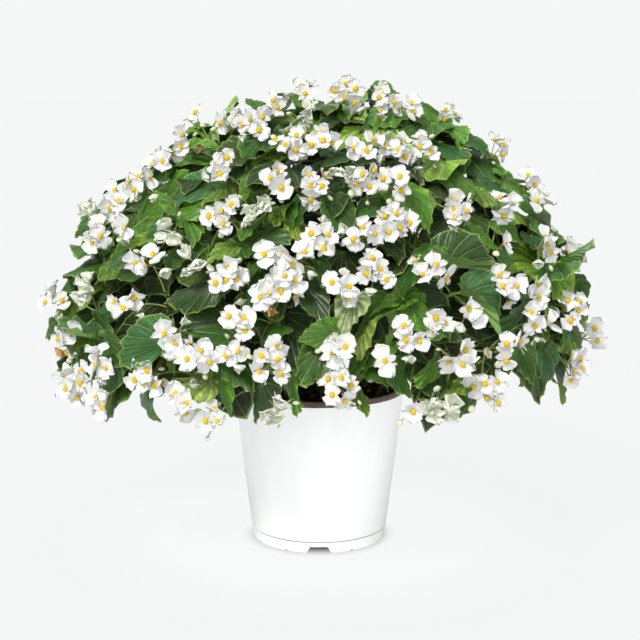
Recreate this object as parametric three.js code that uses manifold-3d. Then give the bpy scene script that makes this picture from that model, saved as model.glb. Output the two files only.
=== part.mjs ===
// A white-flowered begonia in its nursery pot, in millimetres, +Z up.
// The origin is on the ground under the middle of the pot, and -Y is the front.
import * as THREE from "three";
import { mergeVertices } from "three/addons/utils/BufferGeometryUtils.js";
import Module from "manifold-3d";

const wasm = await Module();
wasm.setup();


// ---------- driving dimensions ----------
const POT_HEIGHT = 150;
const RIM_RADIUS = 82.5; // outside of the brown lip
const LIP_HEIGHT = 5.5;
const FOOT_RADIUS = 64.3;
const FOOT_HEIGHT = 10.5; // the fine step above the ground
const FLOOR_LIFT = 7; // underside of the floor above the ground
const WALL = 2.3;
const POT_SIDES = 32;
const SOIL_BELOW_RIM = 12;
const GAP = 0.4; // free space between pieces that rest in or on each other

const DOME_WIDE = 265; // half of the plant's width, to the outermost petals
const DOME_DEEP = 242; // half of its depth, front to back
const DOME_MIDDLE = 188; // height where it is widest
const DOME_TOP = 443;
const DOME_UNDER = 92; // how far it bellies below the widest height
const SKIRT = { side: 138, front: 196, opening: 0.5 }; // lowest leaves, and the half angle of the front gap

const STEM_RADIUS = 3.6;
const STEM_SIDES = 5;
const STEM_STEPS = 4;
const STEM_ROOT = 26; // how deep a stem stands in the potting mix
// How many stems, where they leave the mix, the height and depth under the dome where they end.
const STEM_TIERS = [
  { stems: 7, start: 50, end: 206, depth: 78, turn: 26, shoots: [[-0.24, 45], [0.2, -30], [0.02, 60]] },
  { stems: 4, start: 27, end: 318, depth: 78, turn: 8, shoots: [[-0.4, -16], [0.42, 6], [0.06, 44]] },
  { stems: 1, start: 3, end: 392, depth: 42, turn: 20, shoots: [[1.9, -4], [-2.0, 2]] },
];
const SHOOT_RADIUS = 2.4;
const SHOOT_FROM = [0.62, 0.74, 0.84]; // where along its stem each shoot leaves it

const LEAF_PLACES = 46; // besides the leaves that the photograph shows
const HIDDEN_SHARE = 0.66; // they fill this share of the way round, away from the photograph
const LEAF_LENGTH = [46, 62];
const LEAF_DEPTH = [30, 46]; // how far under the dome the base of a leaf sits
const LEAF_RISE = 0.3; // how much of its length the tip stands further out than the base
const LEAF_THICK = 2; // where the petiole meets the blade, thinning to the margin
const LEAF_TRIES = 40;
const PETIOLE_RADIUS = 1.5;
const PETIOLE_UNDER = 8; // a petiole comes up to its blade from this far beneath it

const BLOOM_RADIUS = 11.5;
const BLOOM_THICK = 2.4;
const PEDICEL = 16; // from the middle of a head to the back of a flower
const PEDICEL_TILT = 47; // degrees off the head's own axis
const HEAD_DEPTH = 19; // middle of a head under the dome
const HEAD_TRIES = 18;
const FORK_DEPTH = 22; // where a spray divides, further in than its heads
const FORK_TRIES = 240;
const ROUTE_TRIES = 16;
const FORK_CLEAR = 7; // branches of a spray stay apart from here on
const HEADS_IN_SPRAY = 3;
const SPRAY_REACH = 98; // heads of one spray lie this close to its first
const STALK_RADIUS = 1.25;

// ---------- what the photograph shows ----------
// The eye that the picture was taken from, and its focal length in pixels.
const EYE = new THREE.Vector3(0, -1350, 439);
const EYE_PITCH = THREE.MathUtils.degToRad(9.52);
const FOCAL = 1420;
const PLANT_AXIS_X = 319;
const FRAME_MIDDLE_Y = 320;
// Each flower head as [x, y, open flowers], x and y in pixels of the 640 x 640 picture.
const HEADS_SEEN = [
  [197, 118, 2], [180, 144, 5], [160, 164, 3], [140, 181, 6], [116, 199, 4], [92, 208, 1], [98, 233, 4],
  [124, 228, 2], [232, 120, 4], [257, 123, 4], [277, 102, 3], [304, 88, 4], [306, 112, 1], [288, 141, 6],
  [320, 138, 6], [219, 167, 4], [169, 232, 1], [146, 260, 5], [224, 214, 6], [257, 208, 1], [275, 180, 5],
  [314, 184, 6], [191, 260, 1], [225, 276, 6], [265, 252, 2], [296, 257, 5], [286, 283, 6], [320, 238, 4],
  [263, 294, 3], [84, 290, 1], [54, 298, 6], [126, 303, 4], [66, 342, 4], [100, 364, 4], [72, 384, 7],
  [101, 399, 3], [171, 341, 4], [198, 356, 4], [143, 378, 6], [183, 402, 5], [213, 423, 3], [240, 320, 4],
  [230, 352, 3], [273, 361, 7], [276, 412, 1], [347, 93, 4], [384, 100, 6], [414, 106, 3], [450, 110, 4],
  [366, 146, 5], [397, 146, 6], [424, 147, 5], [347, 172, 1], [368, 178, 6], [394, 181, 4], [498, 148, 5],
  [459, 206, 6], [506, 205, 4], [530, 179, 3], [541, 204, 3], [397, 222, 7], [361, 233, 4], [376, 272, 6],
  [343, 288, 5], [432, 272, 4], [472, 310, 3], [503, 246, 2], [547, 246, 4], [574, 250, 5], [507, 284, 5],
  [534, 293, 3], [538, 322, 5], [572, 308, 6], [440, 318, 3], [411, 338, 4], [459, 358, 4], [508, 349, 4],
  [593, 337, 3], [577, 368, 7], [488, 389, 7], [341, 386, 7], [342, 352, 3], [387, 359, 1], [413, 413, 2],
  [430, 409, 1], [450, 409, 1],
];
// Each leaf that stands clear of its neighbours, as [base x, base y, tip x, tip y] in the same pixels.
const LEAVES_SEEN = [
  [108, 214, 71, 232], [106, 256, 61, 268], [136, 250, 108, 274], [160, 238, 124, 239],
  [138, 222, 166, 197], [206, 184, 159, 206], [158, 204, 181, 168], [178, 214, 142, 232],
  [186, 230, 196, 204], [186, 238, 201, 258], [184, 248, 165, 269], [214, 284, 162, 300],
  [94, 336, 60, 318], [164, 344, 116, 362], [104, 334, 120, 366], [236, 338, 181, 326],
  [210, 380, 169, 366], [221, 380, 228, 419], [226, 358, 256, 388], [262, 384, 249, 425],
  [290, 379, 293, 417], [338, 334, 300, 338], [322, 348, 300, 378], [148, 386, 140, 424],
  [119, 366, 105, 398], [236, 246, 204, 260], [246, 246, 292, 230], [312, 220, 298, 243],
  [272, 256, 242, 274], [296, 222, 272, 206], [330, 204, 340, 234], [368, 97, 373, 79],
  [377, 90, 402, 82], [420, 104, 454, 116], [428, 122, 392, 126], [378, 128, 342, 134],
  [330, 156, 363, 148], [440, 144, 466, 160], [442, 124, 462, 141], [466, 140, 494, 150],
  [466, 154, 506, 176], [440, 160, 404, 166], [442, 170, 482, 186], [402, 190, 437, 225],
  [398, 198, 354, 206], [478, 180, 511, 192], [480, 194, 508, 203], [436, 246, 413, 264],
  [446, 256, 501, 264], [470, 276, 503, 324], [408, 296, 454, 334], [403, 300, 376, 320],
  [354, 300, 343, 332], [364, 322, 352, 356], [384, 344, 360, 366], [392, 358, 413, 398],
  [436, 362, 418, 388], [466, 382, 442, 392], [356, 392, 369, 416], [456, 388, 465, 416],
  [506, 180, 540, 197], [536, 216, 578, 236], [498, 222, 530, 243], [546, 240, 569, 268],
  [544, 270, 512, 262], [542, 272, 574, 286], [578, 280, 597, 306], [578, 314, 608, 323],
  [526, 308, 504, 332], [518, 346, 534, 386], [546, 350, 553, 397], [572, 328, 602, 367],
  [292, 96, 322, 92], [214, 132, 190, 128], [270, 134, 244, 156], [184, 158, 216, 146],
  [262, 176, 240, 196], [256, 100, 246, 96],
];
const BACK_STEP = 2; // the hidden side repeats every second head of the seen side, turned round
const BACK_CLEAR = 60; // heads nearer the outline than this already show on both sides

// ---------- small helpers ----------
const vec = (x, y, z) => new THREE.Vector3(x, y, z);
const mix = (a, b, t) => a + (b - a) * t;
const radians = THREE.MathUtils.degToRad;

// A draw from 0 to 1 that is the same on each run: item is counted, use tells its draws apart.
function draw(item, use) {
  const wave = Math.sin(item * 12.9898 + use * 78.233 + 4.1) * 43758.5453;
  return wave - Math.floor(wave);
}

// A short drawn vector in any direction, its three draws a step apart.
function anyWay(item, use, step) {
  return vec(draw(item, use) - 0.5, draw(item, use + step) - 0.5, draw(item, use + 2 * step) - 0.5);
}

function solidOf(geometry) {
  const bare = geometry.index ? geometry.toNonIndexed() : geometry.clone();
  bare.deleteAttribute("normal");
  bare.deleteAttribute("uv");
  const merged = mergeVertices(bare, 1e-3);
  return new wasm.Manifold(
    new wasm.Mesh({
      numProp: 3,
      vertProperties: merged.attributes.position.array,
      triVerts: new Uint32Array(merged.index.array),
    }),
  );
}

function polyhedron({ points, faces }) {
  const geometry = new THREE.BufferGeometry();
  const numbers = points.flatMap((p) => p.toArray());
  geometry.setAttribute("position", new THREE.Float32BufferAttribute(numbers, 3));
  geometry.setIndex(faces.flat());
  return solidOf(geometry);
}

// Whether an edge of any face passes through another face that it shares no corner with.
function crossesItself({ points, faces }) {
  const boxes = faces.map((face) => new THREE.Box3().setFromPoints(face.map((i) => points[i])));
  const ray = new THREE.Ray();
  const hit = vec(0, 0, 0);
  return faces.some((face, i) => {
    return face.some((from, side) => {
      const to = face[(side + 1) % 3];
      const length = points[from].distanceTo(points[to]);
      ray.set(points[from], points[to].clone().sub(points[from]).divideScalar(length));
      return faces.some((other, k) => {
        if (other.includes(from) || other.includes(to) || !boxes[i].intersectsBox(boxes[k])) return false;
        const [a, b, c] = other.map((corner) => points[corner]);
        return ray.intersectTriangle(a, b, c, false, hit) && hit.distanceTo(points[from]) < length;
      });
    });
  });
}

function geometryOf(solid) {
  const mesh = solid.getMesh();
  const geometry = new THREE.BufferGeometry();
  geometry.setAttribute("position", new THREE.BufferAttribute(mesh.vertProperties, 3));
  geometry.setIndex(new THREE.BufferAttribute(mesh.triVerts, 1));
  geometry.computeVertexNormals();
  return geometry;
}

// The largest body of a solid: scraps that a cut leaves loose and hollows that a join seals go.
function oneBody(solid) {
  return solid.decompose().sort((a, b) => b.volume() - a.volume())[0];
}

function joined(solids) {
  return oneBody(solids.reduce((all, next) => all.add(next)));
}

// Pieces that are already in their place, which a new one has to stay clear of.
const placed = [];

function remember(solid, owner) {
  placed.push({ solid, owner, box: solid.boundingBox() });
}

function clear(solid, ...owners) {
  const { min, max } = solid.boundingBox();
  return placed.every((other) => {
    if (owners.includes(other.owner) || owners.includes(other.solid)) return true;
    for (let axis = 0; axis < 3; axis++) {
      if (other.box.max[axis] + GAP < min[axis] || max[axis] + GAP < other.box.min[axis]) return true;
    }
    return solid.minGap(other.solid, GAP) >= GAP;
  });
}

function lathe(profile) {
  const points = profile.map(([r, z]) => new THREE.Vector2(r, z));
  return new THREE.LatheGeometry(points, POT_SIDES).rotateX(Math.PI / 2);
}

function extruded(outline, length) {
  const shape = new THREE.Shape(outline.map(([x, y]) => new THREE.Vector2(x, y)));
  return new THREE.ExtrudeGeometry(shape, { depth: length, bevelEnabled: false });
}

// ---------- the plant's outline ----------
function outward(p) {
  const half = p.z > DOME_MIDDLE ? DOME_TOP - DOME_MIDDLE : DOME_UNDER * 2;
  return vec(p.x / DOME_WIDE ** 2, p.y / DOME_DEEP ** 2, (p.z - DOME_MIDDLE) / half ** 2).normalize();
}

// A point of the dome at a bearing (0 at the front) and height, moved in by depth.
function onDome(bearing, z, depth) {
  const rise = (z - DOME_MIDDLE) / (z > DOME_MIDDLE ? DOME_TOP - DOME_MIDDLE : DOME_UNDER);
  const share = Math.sqrt(Math.max(0, 1 - rise * rise));
  const p = vec(DOME_WIDE * share * Math.sin(bearing), -DOME_DEEP * share * Math.cos(bearing), z);
  return p.addScaledVector(outward(p), -depth);
}

// Where the line of sight through a pixel meets the dome drawn in by depth, or passes nearest to it.
function seenAt(x, y, depth) {
  const across = (x - PLANT_AXIS_X) / FOCAL;
  const up = (FRAME_MIDDLE_Y - y) / FOCAL;
  const [sin, cos] = [Math.sin(EYE_PITCH), Math.cos(EYE_PITCH)];
  const sight = vec(across, cos + up * sin, up * cos - sin);
  const meet = (half) => {
    const size = vec(DOME_WIDE - depth, DOME_DEEP - depth, half - depth);
    const from = vec(EYE.x, EYE.y, EYE.z - DOME_MIDDLE).divide(size);
    const way = sight.clone().divide(size);
    const [a, b, c] = [way.dot(way), from.dot(way), from.dot(from) - 1];
    const root = Math.sqrt(Math.max(0, b * b - a * c));
    return from.addScaledVector(way, (-b - root) / a).normalize().multiply(size).add(vec(0, 0, DOME_MIDDLE));
  };
  const above = meet(DOME_TOP - DOME_MIDDLE);
  return above.z >= DOME_MIDDLE ? above : meet(DOME_UNDER + depth);
}

function skirt(bearing) {
  const turned = Math.abs(Math.atan2(Math.sin(bearing), Math.cos(bearing)));
  const t = Math.min(1, turned / SKIRT.opening);
  return mix(SKIRT.front, SKIRT.side, t * t * (3 - 2 * t));
}

// ---------- pot ----------
const floorTop = FLOOR_LIFT + WALL;
const lipBottom = POT_HEIGHT - LIP_HEIGHT;
const wallFoot = FOOT_RADIUS + 2;
const wallTop = RIM_RADIUS - 0.8;
const inside = (z) => mix(wallFoot, wallTop, (z - floorTop) / (POT_HEIGHT - floorTop)) - WALL;

function potSolid() {
  const shell = lathe([
    [0, FLOOR_LIFT],
    [FOOT_RADIUS - WALL, FLOOR_LIFT],
    [FOOT_RADIUS - WALL, 0],
    [FOOT_RADIUS, 0],
    [FOOT_RADIUS + 1, FOOT_HEIGHT],
    [wallFoot, FOOT_HEIGHT + 1],
    [wallTop, lipBottom],
    [RIM_RADIUS, lipBottom + 0.6],
    [RIM_RADIUS, POT_HEIGHT],
    [inside(POT_HEIGHT), POT_HEIGHT],
    [inside(floorTop), floorTop],
    [0, floorTop],
  ]);
  // Four drain channels through the foot ring, each with a small moulding notch on either side.
  const cuts = [];
  for (let quarter = 0; quarter < 4; quarter++) {
    const turn = (quarter * Math.PI) / 2;
    const channel = extruded([[-12.5, -1], [12.5, -1], [8.3, 6.2], [-8.3, 6.2]], 20);
    cuts.push(channel.rotateX(Math.PI / 2).translate(0, 10 - FOOT_RADIUS, 0).rotateZ(turn));
    for (const side of [-1, 1]) {
      const notch = extruded([[-2.6, -1], [2.6, -1], [1.2, 1.7], [-1.2, 1.7]], 8);
      const off = turn + side * radians(29);
      cuts.push(notch.rotateX(Math.PI / 2).translate(0, 3 - FOOT_RADIUS, 0).rotateZ(off));
    }
    const hole = new THREE.CylinderGeometry(6, 6, 4 * WALL, 8).rotateX(Math.PI / 2);
    cuts.push(hole.translate(0, -0.6 * FOOT_RADIUS, floorTop).rotateZ(turn + Math.PI / 4));
  }
  return cuts.reduce((pot, cut) => pot.subtract(solidOf(cut)), solidOf(shell));
}

// ---------- stems and their shoots ----------
const soilTop = POT_HEIGHT - SOIL_BELOW_RIM;

// The straight lengths that a limb is made of, so that what grows from it starts on it.
function straightened(curve, steps) {
  const path = new THREE.CurvePath();
  const points = curve.getSpacedPoints(steps);
  for (let i = 0; i < steps; i++) path.add(new THREE.LineCurve3(points[i], points[i + 1]));
  return path;
}

function stemsAndShoots() {
  const limbs = [];
  let plant = 0;
  for (const tier of STEM_TIERS) {
    for (let k = 0; k < tier.stems; k++) {
      const bearing = (k / tier.stems) * 2 * Math.PI + radians(tier.turn);
      const out = vec(Math.sin(bearing), -Math.cos(bearing), 0);
      const start = out.clone().multiplyScalar(tier.start).setZ(soilTop - STEM_ROOT);
      const bend = out.clone().multiplyScalar(tier.start * 1.25).setZ(mix(soilTop, tier.end, 0.85));
      const end = onDome(bearing, tier.end, tier.depth);
      const curve = straightened(new THREE.QuadraticBezierCurve3(start, bend, end), STEM_STEPS);
      limbs.push({ plant, curve, radius: STEM_RADIUS, from: 0.4, steps: STEM_STEPS, main: true });
      tier.shoots.forEach(([swing, lift], i) => {
        const foot = curve.getPoint(SHOOT_FROM[i]);
        const top = onDome(bearing + swing, tier.end + lift, tier.depth - 14);
        const knee = foot.clone().lerp(top, 0.5).add(vec(0, 0, 8));
        const arch = straightened(new THREE.QuadraticBezierCurve3(foot, knee, top), 2);
        limbs.push({ plant, curve: arch, radius: SHOOT_RADIUS, from: 0.25, steps: 2, main: false });
      });
      plant++;
    }
  }
  return limbs;
}

function tubeAlong(curve, radius, sides, steps) {
  const shape = new THREE.Shape();
  for (let i = 0; i < sides; i++) {
    const a = (i / sides) * 2 * Math.PI;
    shape[i ? "lineTo" : "moveTo"](radius * Math.cos(a), radius * Math.sin(a));
  }
  return solidOf(new THREE.ExtrudeGeometry(shape, { steps, extrudePath: curve }));
}

const limbSolid = (limb, grow) => {
  return tubeAlong(limb.curve, limb.radius + grow, limb.main ? STEM_SIDES : 4, limb.steps);
};

// The nearest place on any stem or shoot to a point.
function nearestLimb(limbs, p) {
  let best = { far: Infinity };
  for (const limb of limbs) {
    for (let t = limb.from; t <= 0.97; t += 0.03) {
      const at = limb.curve.getPoint(t);
      const far = at.distanceTo(p);
      if (far < best.far) best = { limb, at, t, far };
    }
  }
  return best;
}

// ---------- potting mix ----------
function soilSolid(limbs) {
  const edge = inside(soilTop) - GAP;
  const bed = lathe([
    [0, floorTop + GAP],
    [inside(floorTop) - GAP, floorTop + GAP],
    [edge, soilTop],
    [edge * 0.72, soilTop + 2],
    [edge * 0.38, soilTop + 2],
    [0, soilTop + 3],
  ]);
  const position = bed.attributes.position;
  for (let i = 0; i < position.count; i++) {
    const [x, y, z] = [position.getX(i), position.getY(i), position.getZ(i)];
    const crumbs = 1.6 * Math.sin(x * 0.21 + 1) * Math.cos(y * 0.17) + 1.1 * Math.sin(y * 0.43 + x * 0.11);
    if (z > soilTop + 1) position.setZ(i, z + crumbs);
  }
  return limbs.filter((limb) => limb.main).reduce((soil, limb) => {
    return soil.subtract(limbSolid(limb, GAP).translate([0, 0, -GAP]));
  }, solidOf(bed));
}

// ---------- blades on stalks ----------
// A frame with up along one way and y as near as it can be to another.
function frameOf(up, along) {
  const z = up.clone().normalize();
  const y = along.clone().addScaledVector(z, -along.dot(z)).normalize();
  return { x: y.clone().cross(z), y, z };
}

function place(frame, origin, x, y, z) {
  return origin.clone().addScaledVector(frame.x, x).addScaledVector(frame.y, y).addScaledVector(frame.z, z);
}

// Three corners round a point, square to a way, with the first as near as can be to a spin.
function ring({ points }, middle, way, radius, spin) {
  const frame = frameOf(way, vec(0.31, 0.17, 1));
  return [0, 1, 2].map((i) => {
    const a = spin + (i * 2 * Math.PI) / 3;
    return points.push(place(frame, middle, radius * Math.cos(a), radius * Math.sin(a), 0)) - 1;
  });
}

// Sides of a stalk between two rings, joined with the least twist; returns the second ring in step.
function sides({ points, faces }, low, high) {
  const length = (shift) => {
    return low.reduce((sum, c, i) => sum + points[c].distanceTo(points[high[(i + shift) % 3]]), 0);
  };
  const shift = [0, 1, 2].reduce((best, k) => (length(k) < length(best) ? k : best), 0);
  const top = [0, 1, 2].map((i) => high[(i + shift) % 3]);
  for (let i = 0; i < 3; i++) {
    const k = (i + 1) % 3;
    faces.push([low[i], low[k], top[i]], [low[k], top[k], top[i]]);
  }
  return top;
}

// A closed blade: the upper face fans out from one point, the lower one from the stalk's three
// corners, and both share the outline, so the blade thins to its margin.
function blade({ points, faces }, outline, top, corners) {
  const first = points.length;
  const n = outline.length;
  points.push(...outline, top);
  const near = (j) => {
    const far = corners.map((c) => points[c].distanceTo(points[first + j]));
    return far.indexOf(Math.min(...far));
  };
  const begin = near(0);
  let at = begin;
  for (let j = 0; j < n; j++) {
    const next = (j + 1) % n;
    faces.push([first + j, first + next, first + n], [first + next, first + j, corners[at]]);
    const goal = next === 0 ? begin : near(next);
    while (at !== goal) {
      faces.push([first + next, corners[at], corners[(at + 1) % 3]]);
      at = (at + 1) % 3;
    }
  }
}

// ---------- flower heads ----------
// Four tepals, two broad and two narrow, as [turn in degrees, share of the radius, share forward].
const TEPALS = [
  [60, 1, 0.16], [120, 1, 0.16], [180, 0.62, 0.04], [240, 1, 0.16], [300, 1, 0.16], [0, 0.62, 0.04],
];

function bloom(part, base, centre, facing, spin, radius) {
  const frame = frameOf(facing, vec(0.02, 0.03, 1));
  const outline = TEPALS.map(([turn, share, forward]) => {
    const a = radians(turn + spin);
    const r = radius * share;
    return place(frame, centre, r * Math.cos(a), r * Math.sin(a), radius * forward);
  });
  const middle = base.reduce((sum, i) => sum.add(part.points[i]), vec(0, 0, 0)).divideScalar(3);
  const corners = base.map((i) => {
    const arm = part.points[i].clone().sub(middle);
    arm.addScaledVector(facing, -arm.dot(facing)).setLength(STALK_RADIUS);
    return part.points.push(arm.add(centre).addScaledVector(facing, -BLOOM_THICK / 2)) - 1;
  });
  blade(part, outline, centre.clone().addScaledVector(facing, BLOOM_THICK / 2), sides(part, base, corners));
}

// The corner past three others, which makes them a tip with three faces to grow from.
function tipOn(part, high, centre, axis) {
  const tip = part.points.push(centre.clone().addScaledVector(axis, STALK_RADIUS * 1.5)) - 1;
  return [0, 1, 2].map((i) => [high[i], high[(i + 1) % 3], tip]);
}

// A head grown on from three corners: a tip that bears up to three flowers, each on its pedicel.
function flowers(part, from, head) {
  const { centre, axis, item, open, spin } = head;
  const high = ring(part, centre, axis, STALK_RADIUS * 1.5, spin);
  sides(part, from, high);
  tipOn(part, high, centre, axis).forEach((base, i) => {
    if (i >= open) {
      part.faces.push(base);
      return;
    }
    const side = part.points[base[0]].clone().add(part.points[base[1]]).multiplyScalar(0.5).sub(centre);
    const tilt = radians(PEDICEL_TILT) * (open === 1 ? 0.3 : 1);
    const facing = axis.clone().multiplyScalar(Math.cos(tilt));
    facing.addScaledVector(side.normalize(), Math.sin(tilt));
    const radius = BLOOM_RADIUS * mix(0.86, 1, draw(item, 11 + i));
    const back = centre.clone().addScaledVector(facing, PEDICEL);
    bloom(part, base, back, facing, 120 * draw(item, 21 + i), radius);
  });
}

// A head by itself on a short neck, to find its free place with.
function headSolid(head) {
  const part = { points: [], faces: [] };
  const neck = head.centre.clone().addScaledVector(head.axis, -5);
  const low = ring(part, neck, head.axis, STALK_RADIUS, head.spin);
  part.faces.push([low[2], low[1], low[0]]);
  flowers(part, low, head);
  return polyhedron(part);
}

// Fewer flowers stand in a head here than open on the plant.
const flowersBuilt = (open) => (open > 5 ? 3 : Math.min(2, Math.ceil(open / 2)));

// Every head of the plant: those in sight, then the hidden side's.
function allHeads() {
  const heads = [];
  const add = (centre, open) => {
    const item = heads.length;
    const lean = vec(draw(item, 1) - 0.5, draw(item, 2) - 0.5, draw(item, 3) - 0.3);
    const axis = outward(centre).addScaledVector(lean, 0.4).normalize();
    heads.push({ item, centre, axis, open: flowersBuilt(open) });
  };
  for (const [x, y, open] of HEADS_SEEN) add(seenAt(x, y, HEAD_DEPTH), open);
  const seen = heads.length;
  for (let i = 0; i < seen; i += BACK_STEP) {
    const { centre } = heads[i];
    if (centre.y > -BACK_CLEAR) continue;
    const turn = Math.atan2(centre.x / DOME_WIDE, -centre.y / DOME_DEEP) + Math.PI;
    const z = Math.min(DOME_TOP - 40, Math.max(DOME_MIDDLE - 40, centre.z + mix(-10, 10, draw(i, 5))));
    add(onDome(turn + mix(-0.08, 0.08, draw(i, 6)), z, HEAD_DEPTH), Math.max(3, HEADS_SEEN[i][2]));
  }
  return heads;
}

// Neighbouring heads share a spray, taken in order of their bearing round the plant.
function sprays(heads) {
  const bearing = (head) => Math.atan2(head.centre.x, -head.centre.y);
  const left = [...heads].sort((a, b) => bearing(a) - bearing(b));
  const groups = [];
  while (left.length) {
    const first = left.shift();
    const near = left
      .map((head) => ({ head, far: head.centre.distanceTo(first.centre) }))
      .filter(({ far }) => far < SPRAY_REACH)
      .sort((a, b) => a.far - b.far)
      .slice(0, HEADS_IN_SPRAY - 1)
      .map(({ head }) => head);
    for (const head of near) left.splice(left.indexOf(head), 1);
    groups.push([first, ...near]);
  }
  return groups;
}

// A three-sided stalk through a list of points.
function stalk(route, radius) {
  const part = { points: [], faces: [] };
  let last = null;
  route.forEach((p, i) => {
    const way = route[Math.min(i + 1, route.length - 1)].clone().sub(route[Math.max(i - 1, 0)]);
    const next = ring(part, p, way, radius, 0.4);
    if (!last) part.faces.push([next[2], next[1], next[0]]);
    last = last ? sides(part, last, next) : next;
  });
  part.faces.push(last);
  return polyhedron(part);
}

// A stalk with one bend between two places that keeps it clear of all else, or null if none does.
// Where it has to come up behind a head, ahead is the way that the head faces.
function stalkBetween(from, to, item, owner, others, ahead) {
  for (let attempt = 0; attempt < ROUTE_TRIES; attempt++) {
    const bow = 0.1 * attempt * from.distanceTo(to);
    const bend = from.clone().lerp(to, 0.5).addScaledVector(anyWay(item, 70 + attempt, 20), bow);
    const leastAhead = attempt < ROUTE_TRIES / 2 ? 0.45 : 0.1;
    if (ahead && to.clone().sub(bend).normalize().dot(ahead) < leastAhead) continue;
    const solid = stalk([from, bend, to], STALK_RADIUS);
    if (clear(solid, owner) && apart(solid, others)) return { bend, solid };
  }
  return null;
}

const apart = (solid, others) => others.every((other) => solid.minGap(other, GAP) >= GAP);

// One spray: a trunk from just off its stem to the fork, and a branch from there to each head.
function spraySolid(group, owner, limbs) {
  const middle = group.reduce((sum, head) => sum.add(head.centre), vec(0, 0, 0)).divideScalar(group.length);
  const out = outward(middle);
  const item = group[0].item;
  const heads = group.map((head) => head.solid);
  for (let attempt = 0; attempt < FORK_TRIES; attempt++) {
    const fork = middle.clone().addScaledVector(out, -FORK_DEPTH);
    fork.addScaledVector(anyWay(item, 130 + attempt, 40), Math.min(80, attempt * 0.8));
    const near = nearestLimb(limbs, fork.clone().addScaledVector(out, -16));
    const slide = near.t + mix(-0.16, 0.1, draw(item, 250 + attempt)) * Math.min(1, attempt / 4);
    const at = near.limb.curve.getPoint(Math.max(near.limb.from, Math.min(0.98, slide)));
    const away = fork.clone().sub(at).normalize();
    const start = at.clone().addScaledVector(away, near.limb.radius + 0.3 * (attempt % 4));
    const trunk = stalkBetween(start, fork, item + attempt, owner, heads, null);
    if (!trunk) continue;
    const ways = [];
    for (const head of group) {
      const neck = head.centre.clone().addScaledVector(head.axis, -4);
      const inner = fork.clone().addScaledVector(neck.clone().sub(fork).normalize(), FORK_CLEAR);
      const others = heads.filter((solid) => solid !== head.solid);
      others.push(trunk.solid, ...ways.map((way) => way.solid));
      const way = stalkBetween(inner, neck, head.item + attempt, owner, others, head.axis);
      if (way) ways.push({ head, ...way });
    }
    if (ways.length < group.length) continue;
    const part = { points: [], faces: [] };
    const root = ring(part, start, trunk.bend.clone().sub(start), STALK_RADIUS, 0.4);
    part.faces.push([root[2], root[1], root[0]]);
    const knee = sides(part, root, ring(part, trunk.bend, fork.clone().sub(start), STALK_RADIUS, 0.4));
    if (group.length === 1) {
      const bend = ring(part, ways[0].bend, group[0].centre.clone().sub(fork), STALK_RADIUS, 0.4);
      flowers(part, sides(part, knee, bend), group[0]);
    } else {
      const ahead = fork.clone().sub(trunk.bend).normalize();
      for (const way of ways) ahead.addScaledVector(way.bend.clone().sub(fork).normalize(), 1);
      growBranches(part, knee, fork, ahead.normalize(), ways);
    }
    if (crossesItself(part)) continue;
    const solid = polyhedron(part);
    if (clear(solid, owner)) return solid;
  }
  return null;
}

// The branches take the faces of the fork's tip in the order in which their heads lie round it.
function growBranches(part, from, fork, axis, routes) {
  const frame = frameOf(axis, vec(0.31, 0.17, 1));
  const turn = ({ bend }) => {
    const way = bend.clone().sub(fork);
    return Math.atan2(way.dot(frame.y), way.dot(frame.x));
  };
  const sorted = [...routes].sort((a, b) => turn(a) - turn(b));
  const third = (2 * Math.PI) / 3;
  const off = sorted.map((route, i) => turn(route) - i * third);
  const mean = Math.atan2(off.reduce((s, a) => s + Math.sin(a), 0), off.reduce((s, a) => s + Math.cos(a), 0));
  const high = ring(part, fork, axis, STALK_RADIUS * 1.5, mean - third / 2);
  sides(part, from, high);
  tipOn(part, high, fork, axis).forEach((base, i) => {
    const route = sorted[i];
    if (!route) {
      part.faces.push(base);
      return;
    }
    const { head, bend } = route;
    const knee = ring(part, bend, head.centre.clone().sub(fork), STALK_RADIUS, 0.4);
    flowers(part, sides(part, base, knee), head);
  });
}

// ---------- leaves ----------
// A lopsided heart with a waved margin, as [across, along, lift] in shares of its length from the
// petiole, anticlockwise from the tip.
const LEAF_OUTLINE = [
  [0.04, 0.84, -0.15], [-0.15, 0.6, -0.02], [-0.3, 0.3, -0.07], [-0.33, 0.02, 0.01], [-0.2, -0.18, -0.04],
  [0, -0.08, 0.02], [0.18, -0.22, -0.02], [0.38, -0.04, -0.06], [0.37, 0.26, 0.02], [0.22, 0.58, -0.03],
];

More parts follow.
